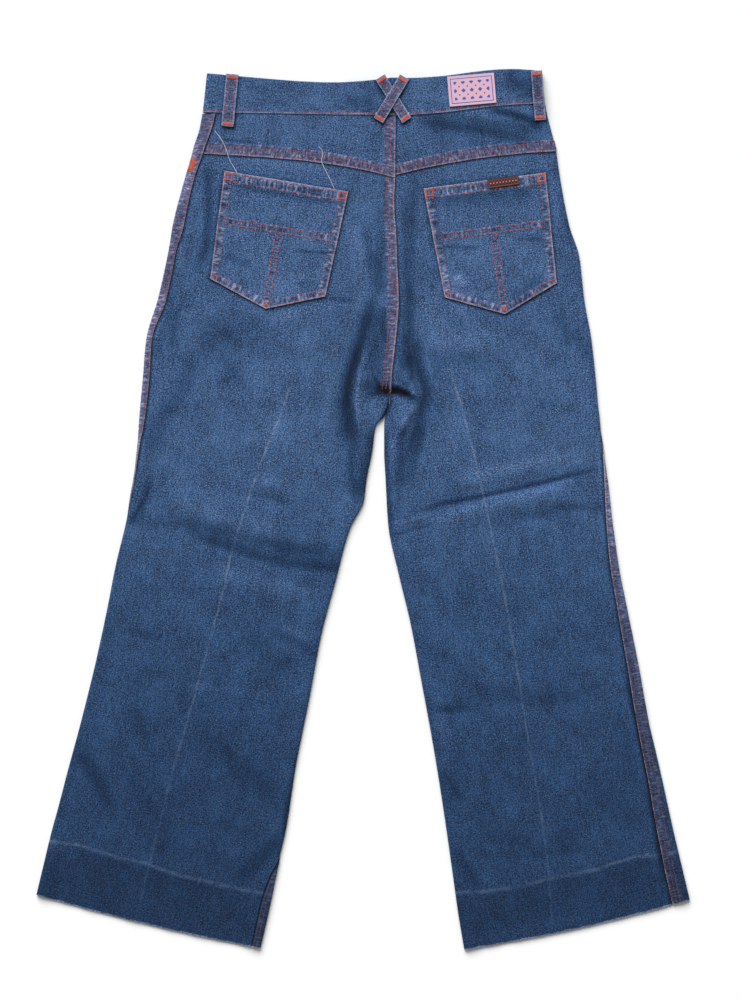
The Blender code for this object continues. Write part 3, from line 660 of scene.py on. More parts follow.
# a broken pale line where the distance is near zero
def makeLineGroup():
    group, given, made = newGroup(
        "wornLine",
        {"Distance": "Float", "Place": "Vector", "Width": "Float", "Breaks": "Float"},
        {"Mask": "Float"},
    )
    place, breaks = given["Place"], given["Breaks"]
    wander = less(group, noiseAt(group, place, wornForm["wanderScale"]), 0.5)
    wobble = times(group, wander, wornForm["wander"])
    away = calc(group, "ABSOLUTE", plus(group, given["Distance"], wobble))
    core = less(group, 1.0, ramp(group, calc(group, "DIVIDE", away, given["Width"]), 0.0, 1.0))
    patchy = ramp(group, noiseAt(group, place, wornForm["patchScale"], 3.0, 0.6), *wornForm["patchRange"])
    kept = plus(group, times(group, patchy, breaks), less(group, 1.0, breaks))
    grain = ramp(group, noiseAt(group, place, wornForm["grainScale"], 1.0), *wornForm["grainRange"])
    group.links.new(times(group, times(group, core, kept), grain), made["Mask"])
    return group


# ridges across a sewn band, pale where they have been rubbed
def makePuckerGroup():
    group, given, made = newGroup(
        "seamPucker",
        {"Seam": "Vector", "Width": "Float", "Pitch": "Float"},
        {"Mask": "Float", "Valley": "Float", "Band": "Float", "Height": "Float"},
    )
    away, along, _ = addNode(group, "ShaderNodeSeparateXYZ", {0: given["Seam"]}).outputs
    band = less(group, 1.0, ramp(group, calc(group, "DIVIDE", away, given["Width"]), *puckerForm["edge"]))
    squeezed = {0: times(group, away, puckerForm["squeeze"]), 1: along}
    squeezed = addNode(group, "ShaderNodeCombineXYZ", squeezed).outputs[0]
    inputs = {0: squeezed, "Scale": calc(group, "DIVIDE", 1.0, given["Pitch"])}
    stretched = addNode(group, "ShaderNodeVectorMath", inputs, operation="SCALE").outputs[0]
    ripple = noiseAt(group, stretched, 1.0, 1.5, 0.6)
    group.links.new(times(group, ramp(group, ripple, *puckerForm["ridge"]), band), made["Mask"])
    group.links.new(times(group, ramp(group, ripple, *puckerForm["valley"]), band), made["Valley"])
    group.links.new(band, made["Band"])
    group.links.new(times(group, ripple, band), made["Height"])
    return group


weaveGroup = makeWeaveGroup()
lineGroup = makeLineGroup()
puckerGroup = makePuckerGroup()


# joins a colour, a height and a roughness to the shader
def joinFinish(tree, shader, colour, height, strength, depth, roughness, gloss):
    relief = addNode(tree, "ShaderNodeBump", {"Height": height, "Strength": strength, "Distance": depth})
    tree.links.new(colour, shader.inputs["Base Color"])
    tree.links.new(relief.outputs[0], shader.inputs["Normal"])
    tree.links.new(roughness, shader.inputs["Roughness"])
    shader.inputs["Specular IOR Level"].default_value = gloss


denim = {
    "dark": (0.0052, 0.0205, 0.065, 1),
    "light": (0.074, 0.166, 0.358, 1),
    "rubbed": (0.34, 0.4, 0.56, 1),
    "rubbedPink": (0.52, 0.4, 0.48, 1),
    "band": (0.115, 0.084, 0.14, 1),
    "hemDark": (0.62, 0.7, 0.74, 1),
    "depth": (1.38, 0.98, 0.8),  # the tone and the painted shade turn darker and bluer together, like indigo that has faded less
    "valley": 1.6,  # how much darker a pucker's valley is than its ridge is pale
    "hemBand": (-0.009, 0.004),  # distances from the old hem between which the darker end starts
    "dullHeights": (1.2, -1.2),  # heights of the weave from smooth to rough
    "roughness": 0.87,
    "roughnessRange": 0.1,
    "bumpStrength": 0.6,
    "bumpDepth": 0.00022,
    "puckerHeight": 3.0,
    "gloss": 0.25,
    "sheen": 0.06,
    "sheenRoughness": 0.5,
}
wear = {  # width, breaks and strength of a worn line
    "crease": (0.0022, 0.75, 0.42),
    "oldHem": (0.0034, 0.75, 0.5),
    "edge": (0.0024, 0.35),
}
denims = {  # name, sewn band's width and tint, its puckers' strength and pitch, edge's wear and pinkness
    "panel": ("denimPanel", 0.0121, 0.27, 0.4, 0.0026, 0.9, 0.8),
    "yoke": ("denimYoke", 0.0121, 0.36, 0.47, 0.0026, 0.9, 0.8),
    "band": ("denimWaistband", 0.005, 0.1, 0.2, 0.004, 0.75, 0.2),
    "pocket": ("denimPocket", 0.0085, 0.1, 0.53, 0.0034, 1.0, 0.7),
    "loop": ("denimLoop", 0.006, 0.25, 0.35, 0.0026, 1.0, 0.2),
}


# the panels' denim also has the pressed crease and the let-down hem
def makeDenim(name, bandWidth, bandTint, pucker, pitch, edgeWear, pinkEdge, pressed=False):
    material, tree, shader = newMaterial(name)
    place = attribute(tree, "clothPlace", "Vector")

    def wornAlong(colour, distance, width, breaks, strength, paler):
        inputs = {"Distance": distance, "Place": place, "Width": width, "Breaks": breaks}
        mask = addNode(tree, "ShaderNodeGroup", inputs, node_tree=lineGroup).outputs["Mask"]
        return mixColour(tree, times(tree, mask, strength), colour, paler)

    inputs = {"Place": place, "Dark": denim["dark"], "Light": denim["light"]}
    cloth = addNode(tree, "ShaderNodeGroup", inputs, node_tree=weaveGroup).outputs
    inputs = {"Seam": attribute(tree, "seamPlace", "Vector"), "Width": bandWidth, "Pitch": pitch}
    gathers = addNode(tree, "ShaderNodeGroup", inputs, node_tree=puckerGroup).outputs
    colour = cloth["Colour"]
    valley = pucker * denim["valley"]
    tints = (("Band", bandTint, "band"), ("Valley", valley, "dark"), ("Mask", pucker, "rubbed"))
    for mask, strength, tint in tints:
        colour = mixColour(tree, times(tree, gathers[mask], strength), colour, denim[tint])
    if pressed:
        hem = attribute(tree, "hemAway", "Fac")
        colour = wornAlong(colour, attribute(tree, "creaseAway", "Fac"), *wear["crease"], denim["rubbed"])
        below = less(tree, 1.0, ramp(tree, hem, *denim["hemBand"]))
        colour = mixColour(tree, below, colour, denim["hemDark"], "MULTIPLY")
        colour = wornAlong(colour, hem, *wear["oldHem"], denim["rubbed"])
    # the attribute read here carries the tone down the legs and the painted shade, shadows and highlights,
    # and multiplies the colour
    fade = attribute(tree, "fade", "Fac")
    depths = {n: calc(tree, "POWER", fade, depth) for n, depth in enumerate(denim["depth"])}
    shade = addNode(tree, "ShaderNodeCombineXYZ", depths).outputs[0]
    colour = mixColour(tree, 1.0, colour, shade, "MULTIPLY")
    rubbed = mixColour(tree, times(tree, gathers["Band"], pinkEdge), denim["rubbed"], denim["rubbedPink"])
    colour = wornAlong(colour, attribute(tree, "edgeAway", "Fac"), *wear["edge"], edgeWear, rubbed)
    height = plus(tree, cloth["Height"], times(tree, gathers["Height"], denim["puckerHeight"]))
    dull = times(tree, ramp(tree, cloth["Height"], *denim["dullHeights"]), denim["roughnessRange"])
    roughness = plus(tree, dull, denim["roughness"])
    relief = (denim["bumpStrength"], denim["bumpDepth"])
    joinFinish(tree, shader, colour, height, *relief, roughness, denim["gloss"])
    shader.inputs["Sheen Weight"].default_value = denim["sheen"]
    shader.inputs["Sheen Roughness"].default_value = denim["sheenRoughness"]
    return material


threads = {  # name: colour, paler colour
    "threadSeam": ((0.24, 0.042, 0.052), (0.44, 0.13, 0.13)),
    "threadInseam": ((0.12, 0.05, 0.07), (0.18, 0.09, 0.11)),
    "threadPocket": ((0.36, 0.062, 0.04), (0.52, 0.15, 0.1)),
    "threadTack": ((0.7, 0.085, 0.022), (0.82, 0.2, 0.08)),
    "threadPale": ((0.5, 0.55, 0.68), (0.75, 0.78, 0.85)),
    "threadBlue": ((0.02, 0.035, 0.07), (0.04, 0.06, 0.12)),
}
threadForm = {
    "patchScale": 210,
    "patchRange": (0.35, 0.72),
    "plyScale": 2600,
    "ply": (0.02, 0.02, 0.04, 1),
    "plyShare": 0.3,
    "dull": (0.075, 0.048, 0.075, 1),  # the long seams are duller towards the hems
    "dullShare": 0.72,
    "dullFrom": 0.3,  # height over the floor plan's middle where that starts and where it is full
    "dullTo": -0.25,
    "roughness": 0.55,
    "roughnessRange": 0.25,
    "bumpStrength": 0.4,
    "bumpDepth": 0.0002,
    "gloss": 0.3,
}


def makeThread(name, deep, pale):
    material, tree, shader = newMaterial(name)
    place = addNode(tree, "ShaderNodeTexCoord").outputs["Object"]
    patchy = ramp(tree, noiseAt(tree, place, threadForm["patchScale"], 2.0, 0.6), *threadForm["patchRange"])
    ply = noiseAt(tree, place, threadForm["plyScale"], 1.0)
    height = addNode(tree, "ShaderNodeSeparateXYZ", {"Vector": place}).outputs["Y"]
    dull = ramp(tree, height, threadForm["dullFrom"], threadForm["dullTo"])
    colour = mixColour(tree, patchy, (*deep, 1), (*pale, 1))
    colour = mixColour(tree, times(tree, ply, threadForm["plyShare"]), colour, threadForm["ply"])
    colour = mixColour(tree, times(tree, dull, threadForm["dullShare"]), colour, threadForm["dull"])
    roughness = plus(tree, times(tree, ply, threadForm["roughnessRange"]), threadForm["roughness"])
    relief = (threadForm["bumpStrength"], threadForm["bumpDepth"])
    joinFinish(tree, shader, colour, ply, *relief, roughness, threadForm["gloss"])
    return material


finishes = {kind: makeDenim(*form, pressed=kind == "panel") for kind, form in denims.items()}
finishes.update({name: makeThread(name, *colours) for name, colours in threads.items()})
print("finishes ready")

# ---- cloth pieces

fades = {  # how light the colour is made, from the waist to the hem, darker towards the hems
    "heights": (500, 440, 400, 330, 260, 160, 60, -20, -90, -200, -330, -500),
    "values": (1.07, 1.08, 1.08, 1.02, 0.99, 1.04, 1.01, 0.87, 0.74, 0.62, 0.5, 0.45),
}
# painted shade (-) and painted highlights (+) along the creases and folds: amount, width or widths to the
# left and right, path
paintedShades = (
    (-1.6, 8, 16, ((16, 250), (10, 226), (3, 198), (-5, 172), (-13, 148), (-16, 122), (-11, 92), (-8, 60))),
    (-0.9, 4, ((-1, 196), (-8, 172), (-14, 150), (-17, 130), (-15, 110))),
    (-0.4, 14, ((-23, 130), (-26, 106), (-22, 78))),
    (-0.5, 9, ((10, 296), (18, 270), (20, 236))),
    (-1.8, 5, 7, ((20, 131), (38, 132), (56, 129))),
    (0.5, 2.5, 3, ((12, 215), (6, 198), (1, 172), (-6, 142), (-7, 126), (-5, 108), (-3, 84))),
    (-0.5, 18, ((14, 235), (14, 200), (16, 160), (24, 132))),
    (-0.4, 8, ((24, 216), (27, 190), (27, 166))),
    (-0.5, 12, ((52, 240), (49, 190), (46, 160), (46, 138))),
    (-1.1, 16, 5, ((56, 205), (58, 185), (61, 158), (70, 132), (64, 106), (56, 78), (46, 44))),
    (-0.3, 12, ((84, 130), (84, 106), (76, 78))),
    (-0.5, 9, ((68, 104), (65, 74), (57, 46), (50, 24))),
    (-1.2, 6, ((53, 178), (54, 158), (55, 138))),
    (-0.35, 8, ((78, 184), (82, 162), (84, 142))),
    (0.45, 3, 2.5, ((50, 180), (53, 148), (58, 128), (58, 116), (48, 100), (38, 82), (29, 52))),
    (-0.6, 9, ((47, 204), (50, 176), (50, 152))),
    (-0.85, 12, 9, ((-8, 139), (10, 137), (34, 136), (64, 134))),
    (-2.6, 5, 9, ((14, 132), (28, 135), (40, 133), (52, 129), (64, 120))),
    (-1.4, 3, 5, ((33, 128), (31, 116), (25, 100), (20, 90))),
    (-2.0, 6, ((10, 134), (24, 135), (38, 132), (52, 128))),
    (-1.4, 4, 5, ((2, 129), (14, 129), (26, 131), (42, 131), (52, 128))),
    (-1.3, 3, 5, ((12, 152), (18, 141), (26, 132), (30, 122))),
    (-1.5, 4, ((32, 128), (29, 114), (24, 104), (19, 94), (12, 82))),
    (0.9, 2, 3, ((28, 144), (44, 140), (62, 128))),
    (0.6, 3, 2, ((14, 148), (24, 133), (30, 124), (26, 108))),
    (-0.55, 7, ((-11, 82), (-13, 42), (-9, 14), (-6, -4))),
    (-0.3, 22, ((-16, 100), (-14, 50), (-4, 10))),
    (-1.1, 5, 14, ((15, 98), (10, 62), (5, 36), (-4, 4))),
    (-0.8, 5, 9, ((27, 98), (27, 60), (29, 20), (33, -34))),
    (-0.5, 15, ((46, 98), (45, 60), (40, 20))),
    (-0.9, 12, 9, ((-206, -26), (-160, -41), (-127, -52), (-88, -63), (-50, -67), (0, -71))),
    (-0.4, 12, ((-222, -10), (-180, -22), (-127, -38), (-71, -46), (-10, -50))),
    (-0.35, 22, 16, ((-110, -44), (-60, -56), (0, -64))),
    (0.3, 14, ((-228, 8), (-180, -4), (-127, -18), (-80, -30))),
    (0.22, 14, ((-118, 36), (-96, 28), (-74, 22))),
    (0.3, 8, 22, ((-180, -62), (-100, -84), (-40, -98))),
    (-0.3, 12, ((-268, -12), (-226, -18), (-180, -20))),
    (-0.3, 6, ((-132, 18), (-106, 12), (-74, 4))),
    (-0.4, 9, ((-238, 44), (-244, 12), (-262, -24))),
    (-0.3, 8, ((-272, -136), (-246, -144), (-222, -148))),
    (-0.3, 26, ((-140, -134), (-112, -158), (-82, -190))),
    (-0.4, 10, 8, ((-110, -140), (-88, -146), (-62, -160), (-40, -178))),
    (-1.1, 6, 3.5, ((48, -10), (87, 4), (125, 11), (150, 16), (177, 22), (214, 31), (278, 47))),
    (0.3, 14, ((86, 28), (160, 44), (220, 56), (268, 66))),
    (0.32, 4, 12, ((60, -20), (125, -1), (180, 13), (230, 24))),
    (-0.28, 9, ((160, -12), (206, -8), (250, -18))),
    (-0.7, 4, 3, ((24, -33), (54, -26), (84, -17))),
    (0.3, 5, 4, ((32, -20), (52, -15), (74, -10))),
    (-0.4, 9, ((210, 2), (240, 1), (280, 0))),
    (-0.4, 9, 7, ((66, -226), (98, -229), (126, -226))),
    (-0.3, 16, 14, ((104, -206), (160, -212), (224, -216), (280, -204))),
    (0.3, 12, ((84, -200), (88, -240), (96, -280))),
    (-0.45, 9, 7, ((86, -294), (100, -312), (114, -334))),
    (-0.35, 14, 12, ((-330, -276), (-306, -300), (-282, -344))),
    (-0.3, 14, ((-168, -250), (-150, -280), (-140, -320))),
    (-0.35, 22, ((-140, -284), (-120, -306), (-100, -330))),
    (-0.6, 15, ((-84, -366), (-108, -388), (-128, -408), (-152, -432))),
    (-0.12, 150, ((-120, -150), (-190, -270), (-230, -380), (-250, -500))),
    (-0.25, 12, ((-262, -216), (-250, -250), (-236, -290))),
    (0.4, 16, ((-366, -374), (-344, -384), (-316, -392))),
    (-0.3, 16, ((290, -216), (296, -260), (306, -320))),
    (-0.25, 18, ((120, -330), (150, -372), (200, -382), (260, -366))),
    (-0.4, 12, ((104, -380), (114, -404), (136, -436))),
    (-1.2, 5, ((294, -170), (306, -226), (320, -290), (329, -350), (336, -390), (341, -440))),
    (-0.25, 26, ((252, -296), (286, -340), (312, -372))),
    (-0.3, 12, ((100, -214), (120, -224), (142, -228))),
    (0.55, 6, ((-95, -398), (-101, -436), (-110, -505))),
    (-0.3, 14, ((-322, -262), (-297, -310), (-276, -356))),
    (-0.2, 16, ((-250, -374), (-190, -390), (-130, -408))),
    (0.25, 10, ((-100, 212), (-60, 226), (-24, 232))),
    (0.35, 8, ((-220, 246), (-227, 216), (-240, 186))),
    (0.35, 10, ((314, -382), (330, -396), (336, -420))),
    (-0.5, 9, 8, ((52, 392), (60, 366), (56, 330), (53, 270), (58, 215))),
    (-0.3, 6, ((50, 380), (49, 330), (48, 270), (52, 220))),
    (-0.25, 9, ((20, 352), (20, 300), (24, 235))),
    (0.32, 7, ((29, 412), (30, 380), (32, 320), (34, 240))),
    (0.2, 18, 14, ((-12, 330), (-4, 290), (-2, 250), (-16, 200))),
    (0.15, 18, ((-136, 228), (-96, 218), (-56, 222))),
    (-0.38, 13, ((58, 436), (110, 434), (170, 430), (222, 427))),
    (-0.7, 9, ((56, 436), (90, 432), (121, 428), (160, 421), (196, 414))),
    (-0.4, 9, ((-6, 446), (20, 443), (46, 446))),
    (-0.25, 26, ((50, 428), (120, 424), (214, 414))),
    (-1.4, 7, ((140, 451), (165, 446), (186, 440), (205, 428))),
    (-0.4, 14, ((-24, 466), (-4, 456), (16, 446))),
    (-0.7, 8, ((12, 492), (20, 478), (22, 462))),
    (-0.35, 6, ((-172, 446), (-150, 444), (-128, 442))),
    (-0.3, 9, ((-132, 478), (-118, 474), (-104, 472))),
    (-0.3, 12, ((-218, 214), (-226, 192), (-236, 166))),
    (-0.35, 12, ((-160, 204), (-146, 192), (-134, 176))),
    (-0.35, 12, ((236, 206), (248, 186), (260, 160))),
    (-0.75, 18, ((156, 488), (180, 480), (204, 466))),
    (-0.35, 10, ((-2, 486), (10, 470), (4, 452))),
    (0.2, 9, ((56, 464), (90, 466), (126, 470))),
    (-0.6, 3.5, ((-164, 417), (-140, 415), (-116, 411))),
    (0.25, 9, 12, ((-144, 398), (-86, 393), (-20, 382))),
    (-0.4, 5, 7, ((-150, 364), (-90, 354), (-24, 343))),
    (-0.45, 6, 10, ((70, 346), (140, 354), (206, 362))),
    (-0.3, 12, ((76, 340), (140, 346), (204, 354))),
    (-0.45, 4, ((-42, 238), (-24, 235), (-4, 234))),
    (-0.75, 3, ((-82, 291), (-54, 289), (-26, 288))),
    (-0.4, 8, ((-158, 288), (-140, 278), (-120, 276))),
    (-0.35, 4, ((-78, 255), (-64, 254), (-50, 254))),
    (-0.5, 4, ((78, 295), (108, 295), (138, 294))),
    (-0.4, 4, ((170, 304), (192, 304), (208, 303))),
    (-0.4, 12, ((166, 236), (188, 250), (208, 264))),
    (0.6, 11, ((104, 264), (112, 257), (116, 249))),
    (0.3, 16, ((86, 262), (106, 240), (120, 214))),
    (-0.8, 9, ((-175, 402), (-174, 340), (-176, 296), (-192, 258))),
    (0.25, 10, ((-200, 335), (-208, 280), (-216, 235))),
    (-0.4, 9, ((-216, 232), (-212, 206), (-216, 176))),
    (-0.3, 9, ((-206, 282), (-216, 240), (-226, 200))),
    (-0.24, 26, ((-196, 196), (-150, 206), (-92, 200))),
    (-0.3, 26, ((-180, 196), (-156, 166), (-150, 132))),
    (-0.4, 18, ((-184, 190), (-196, 150), (-216, 116), (-232, 92), (-240, 50))),
    (0.1, 26, ((-135, 255), (-90, 250), (-40, 264))),
    (0.14, 26, ((-110, 150), (-106, 110), (-110, 60))),
    (0.25, 22, ((66, 260), (80, 220), (96, 190), (160, 190))),
    (-0.25, 16, ((72, 166), (120, 168), (156, 150))),
    (-0.4, 12, ((214, 226), (228, 204), (236, 178))),
    (-0.45, 9, ((212, 402), (226, 366), (232, 320), (240, 286))),
    (0.65, 8, ((-184, 428), (-190, 398), (-197, 366), (-206, 332))),
    (0.5, 8, ((-214, 306), (-218, 292), (-222, 280))),
    (0.5, 9, ((-222, 262), (-230, 236), (-238, 208), (-246, 170))),
    (0.45, 7, ((-246, 190), (-250, 120), (-253, 60), (-262, 10))),
    (0.6, 8, ((266, 80), (274, 20), (290, -70), (304, -150))),
    (0.3, 6, ((300, -130), (310, -180), (318, -230))),
    (-0.6, 4, 5, ((-238, 30), (-250, 4), (-259, -10), (-266, -24))),
    (-1.0, 5, 6, ((-70, -270), (-76, -300), (-83, -335), (-90, -376))),
    (-0.35, 5, ((-150, 368), (-90, 362), (-30, 354))),
    (-0.35, 5, ((86, 360), (120, 363), (150, 366))),
    (-0.45, 6, ((-157, 378), (-160, 340), (-165, 300), (-166, 278))),
    (-0.45, 6, ((80, 356), (82, 330), (88, 300), (92, 270))),
    (-0.45, 6, ((200, 370), (204, 340), (207, 306))),
    (-0.5, 4, ((93, 240), (128, 230), (160, 221))),
    (-0.5, 4, ((164, 223), (190, 238), (215, 252))),
    (-0.35, 8, ((2, 322), (8, 280), (12, 240))),
    (-0.35, 5, ((25, 386), (26, 350), (27, 312))),
    (0.3, 4, ((36, 394), (37, 350), (38, 300))),
    (-0.4, 8, ((50, 262), (54, 226), (56, 192))),
    (-0.45, 7, ((22, 230), (25, 205), (26, 180))),
    (0.3, 7, ((9, 228), (7, 208), (4, 190))),
    (-0.25, 14, ((-270, -296), (-240, -336), (-212, -378))),
    (-0.3, 12, ((-170, -352), (-135, -366), (-100, -372))),
    (0.25, 8, ((-222, -198), (-150, -206), (-90, -212))),
    (0.3, 8, ((-96, -134), (-76, -140), (-58, -148))),
    (-0.25, 8, ((116, -388), (180, -394), (262, -384))),
    (0.2, 14, ((130, -490), (200, -474), (300, -452))),
    (-0.35, 8, ((44, 80), (42, 40), (40, 0), (40, -20))),
)
pressedCreases = {
    "left": (
        (-84, 130), (-92, 106), (-108, 69), (-125, 24), (-149, -53), (-161, -107), (-185, -195), (-210, -281),
        (-237, -386), (-252, -450),
    ),
    "right": (
        (103, 145), (114, 108), (124, 69), (140, 0), (160, -96), (169, -146), (190, -278), (202, -345),
        (211, -415), (214, -470),
    ),
}
oldHems = {
    "left": (
        (-372, -371), (-349, -377), (-320, -381), (-290, -391), (-263, -398), (-241, -403), (-212, -414),
        (-155, -427), (-119, -435), (-90, -440),
    ),
    "right": (
        (90, -436), (110, -435), (140, -433), (172, -429), (216, -418), (262, -409), (309, -394), (334, -392),
        (354, -389), (380, -384),
    ),
}
shading = {
    "pathEnd": 0.22,  # share of a painted shade's or highlight's path over which it fades out at each end
    "under": 0.65,  # strength of the painted shadow just outside the pieces that lie on the cloth
    "underWidth": 4.2,
    "roll": 0.08,  # strength of the painted shade at the silhouette
    "rollWidth": 11.0,
    "seam": 1.3,  # strength of the painted shadow along a seam
    "seamWidth": 1.9,
    "pocket": 1.13,  # the pockets have faded more than the panels
}
pockets = {
    "corners": {  # top left, top right, low right, tip, low left
        "left": ((-156, 381), (-16, 357.5), (-42, 239), (-109.5, 225), (-172, 259)),
        "right": ((69, 361), (207, 379), (219.5, 254), (161, 219), (93, 238)),
    },
    "steps": 84,
    "rim": 0.004,
    "hem": 15.0,
    "hemRaise": 0.8,
    "turn": 8.0,
    "turnRaise": 0.5,
    "stepWidth": 1.4,  # over which the hem and the turnings rise
    "edgeRow": 1.5,
    "innerRow": 7.4,
    "hemRows": (2.4, 11.0),
    "crossShare": 0.43,  # the straight double row across the pocket lies this far down
    "crossInset": 8.0,
    "rowGap": 6.0,
    "stemTop": 7.5,  # the double row down the middle starts and ends this far from its ends
    "stemBase": 11.0,
    "dent": 0.24,
    "edgeDentWidth": 1.3,
    "dentWidth": 1.5,
    "ripple": 0.16,
    "rippleAt": 4.4,  # the ripples are strongest this far inside the edge
    "rippleWidth": 4.5,
    "rippleTop": 8.0,
    "sideOffset": 200.0,  # keeps the puckers of two edges or rows from being alike
    "rowOffset": 900.0,
    "rowLength": 97.0,
    "weaveShift": (7.0, 3.0),
    "puckerReach": 4.0,
    "hemPucker": 6.7,
    "hemPuckerReach": 5.5,
}
loops = {  # node: top, base, width, crosses over the other
    "loop_side_left": ((-147, 490), (-152.5, 431), 14, False),
    "loop_side_right": ((196.5, 493.5), (201, 438), 12.5, False),
    "loop_cross_under": ((20, 486), (50, 437), 12, False),
    "loop_cross_over": ((47.5, 486), (18, 437), 12, True),
}


# a loop's top, its way down, half its width as a step sideways, and its length
def loopFrame(node):
    top, base, width, _ = loops[node]
    along = np.subtract(base, top)
    length = np.linalg.norm(along)
    return np.array(top), along, np.array((-along[1], along[0])) / length * width / 2, length


def loopOutline(node):
    top, along, side, _ = loopFrame(node)
    return top - side, top + along - side, top + along + side, top + side


# painted shadow on the cloth just outside the pieces that lie on it
def shadeUnder(x, y, outlines):
    total = np.zeros(np.shape(x))
    for outline in outlines:
        nearest, _, _ = nearPath((*outline, outline[0]), x, y)
        total = np.maximum(total, bump(nearest, shading["underWidth"]))
    return np.exp(-shading["under"] * total)


# the tone down the legs times the painted shade and highlights along the creases
def fadeAt(x, y):
    light = np.interp(y, fades["heights"][::-1], fades["values"][::-1])
    return light * np.exp(ridgesAlong(paintedShades, shading["pathEnd"], x, y))


# two measures of the cloth as a place that its material reads
def spread(first, second):
    return np.stack((first, second, np.zeros_like(first)), -1) * toMetres


# place on the cloth, place beside the nearest seam, distance from a worn edge, and how light the colour is
# made, with painted shade and highlights
def denimValues(points, place, seam, edgeAway, shade=1.0):
    return {
        "clothPlace": spread(*place),
        "seamPlace": spread(*seam),
        "edgeAway": edgeAway * toMetres,
        "fade": fadeAt(points[..., 0], points[..., 1]) * shade,
    }


def addAttributes(mesh, order, values):
    for name, value in values.items():
        kind, field = ("FLOAT_VECTOR", "vector") if value.ndim == 3 else ("FLOAT", "value")
        layer = mesh.attributes.new(name, kind, "POINT")
        layer.data.foreach_set(field, value[order].astype(np.float32).ravel())


# a wall raised outwards from a grid of points on its inner face, each with its own thickness
def makeCloth(node, points, walls, finish, values, facesUp=True):
    rows, columns = points.shape[:2]
    bm = bmesh.new()
    bmesh.ops.create_grid(bm, x_segments=columns - 1, y_segments=rows - 1, size=1)
    mesh = meshFrom(bm, node + "_cloth")
    spots = np.empty(len(mesh.vertices) * 3, np.float32)
    mesh.vertices.foreach_get("co", spots)
    spots = spots.reshape(-1, 3)
    column = np.rint((spots[:, 0] + 1) / 2 * (columns - 1)).astype(int)
    row = np.rint((spots[:, 1] + 1) / 2 * (rows - 1)).astype(int)
    mesh.vertices.foreach_set("co", (points[row, column] * toMetres).astype(np.float32).ravel())
    across = points[:-1, 1:] - points[:-1, :-1]
    down = points[1:, :-1] - points[:-1, :-1]
    height = points[:-1, :-1, 2] * (1 if facesUp else -1)
    middle = np.unravel_index(np.argmax(height), height.shape)
    if (np.cross(across[middle], down[middle])[2] > 0) != facesUp:
        mesh.flip_normals()
    addAttributes(mesh, (row, column), values)
    mesh.shade_smooth()
    mesh.materials.append(finishes[finish])
    piece = addObject(node + "_cloth", mesh)
    group = piece.vertex_groups.new(name="thickness")
    thickest = float(walls.max())
    levels = np.round(walls[row, column] / thickest, 3)
    for level in np.unique(levels):
        group.add(np.flatnonzero(levels == level).tolist(), float(level), "REPLACE")
    wall = piece.modifiers.new("wall", "SOLIDIFY")
    wall.thickness = thickest * toMetres
    wall.offset = 1
    wall.vertex_group = group.name
    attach(piece, "root")
    return piece


# hides the frame's part that a piece of cloth stands for
def dress(node):
    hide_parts(node)


panel = {
    "rows": 318,
    "columns": 92,
    "frontColumns": 26,
    "fellColumns": 12,
    "frontFellColumns": 14,
    "stepColumns": 2,
    "rim": 0.5,  # the last strip before an edge is this wide, so that the edge looks round
    "turnWeight": 5.0,  # millimetres of width that a radian of fold counts as
    "turnSteps": 200,
    "stitchRows": (1.9, 5.7, 9.5),
    "dent": 0.3,
    "dentWidth": 1.5,
    "ripple": 0.22,
    "rippleWidth": 7.5,
    "rippleLean": 0.25,
    "hemWear": 1.3,  # the larger, the narrower the hem's worn edge
    "frontWear": 700.0,  # this far down, the front's worn edge is half as wide as at the waist
}


def edgedSteps(start, end, count, rim=panel["rim"]):
    return np.concatenate(([start], np.linspace(start + rim, end - rim, count), [end]))


# reaches from one to another, closer together where the cloth turns
def shareOut(row, start, end, count):
    steps = np.linspace(start, end, panel["turnSteps"])
    turned = np.zeros(len(steps))
    for fold in (0, row["length"], -row["length"]):
        turned += np.clip(steps - fold, -row["quarter"], row["quarter"]) / row["fold"]
    weights = np.abs(steps - start) + panel["turnWeight"] * np.abs(turned - turned[0])
    return np.interp(np.linspace(0, weights[-1], count + 1), weights, steps)


# a zone is its width and its number of faces, and the one of width 0 takes the rest
def reachesAcross(row, start, end, zones):
    step = 1 if end > start else -1
    spare = abs(end - start) - sum(width for width, _ in zones)
    reaches, here = [np.array([start])], start
    for width, count in zones:
        there = here + step * (width or spare)
        reaches.append(shareOut(row, here, there, count)[1:])
        here = there
    return np.concatenate(reaches)


# the inner end is felled on the left and has a rolled rim on the right
def innerZones(half, count):
    if half["side"] == "left":
        return (cut["fellStep"], panel["stepColumns"]), (cut["fellWidth"], count)
    return ((panel["rim"], 1),)


ripples = {  # pitch, how much it varies, and over what length
    "fell": (7.0, 2.2, 17.0),
    "band": (9.0, 2.0, 23.0),
    "pocket": (4.4, 1.8, 11.0),
}


# soft ripples along a seam, from -1 to 1
def rippleAlong(kind, along, lean=0.0):
    pitch, sway, drift = ripples[kind]
    return np.sin(along * 2 * np.pi / pitch + sway * np.sin(along / drift) + lean)


# thickness of a felled seam: a flat band with dents along its stitch rows and soft ripples between
def fellWall(away, along, z, share=1.0):
    band = softStep((cut["fellWidth"] + cut["fellStep"] - away) / cut["fellStep"])
    free = softStep((z - cut["cloth"]) / cut["foldRadius"])
    dents = sum(bump(away - row, panel["dentWidth"]) for row in panel["stitchRows"]) * panel["dent"]
    wave = rippleAlong("fell", along, away * panel["rippleLean"])
    ripple = panel["ripple"] * wave * bump(away - panel["stitchRows"][1], panel["rippleWidth"])
    return cut["cloth"] + (cut["fellRaise"] + ripple - dents) * band * share * free


# painted shade at the silhouette and a painted shadow along a seam
def edgeShade(half, reach, drop, seam):
    row = rowAt(half, drop)
    inner = np.where(row["fork"] > 0.5, far, row["length"] - np.abs(reach))
    silhouetteShade = softStep(1 - np.minimum(np.abs(reach), inner) / shading["rollWidth"])
    return np.exp(-shading["roll"] * silhouetteShade - shading["seam"] * bump(seam, shading["seamWidth"]))


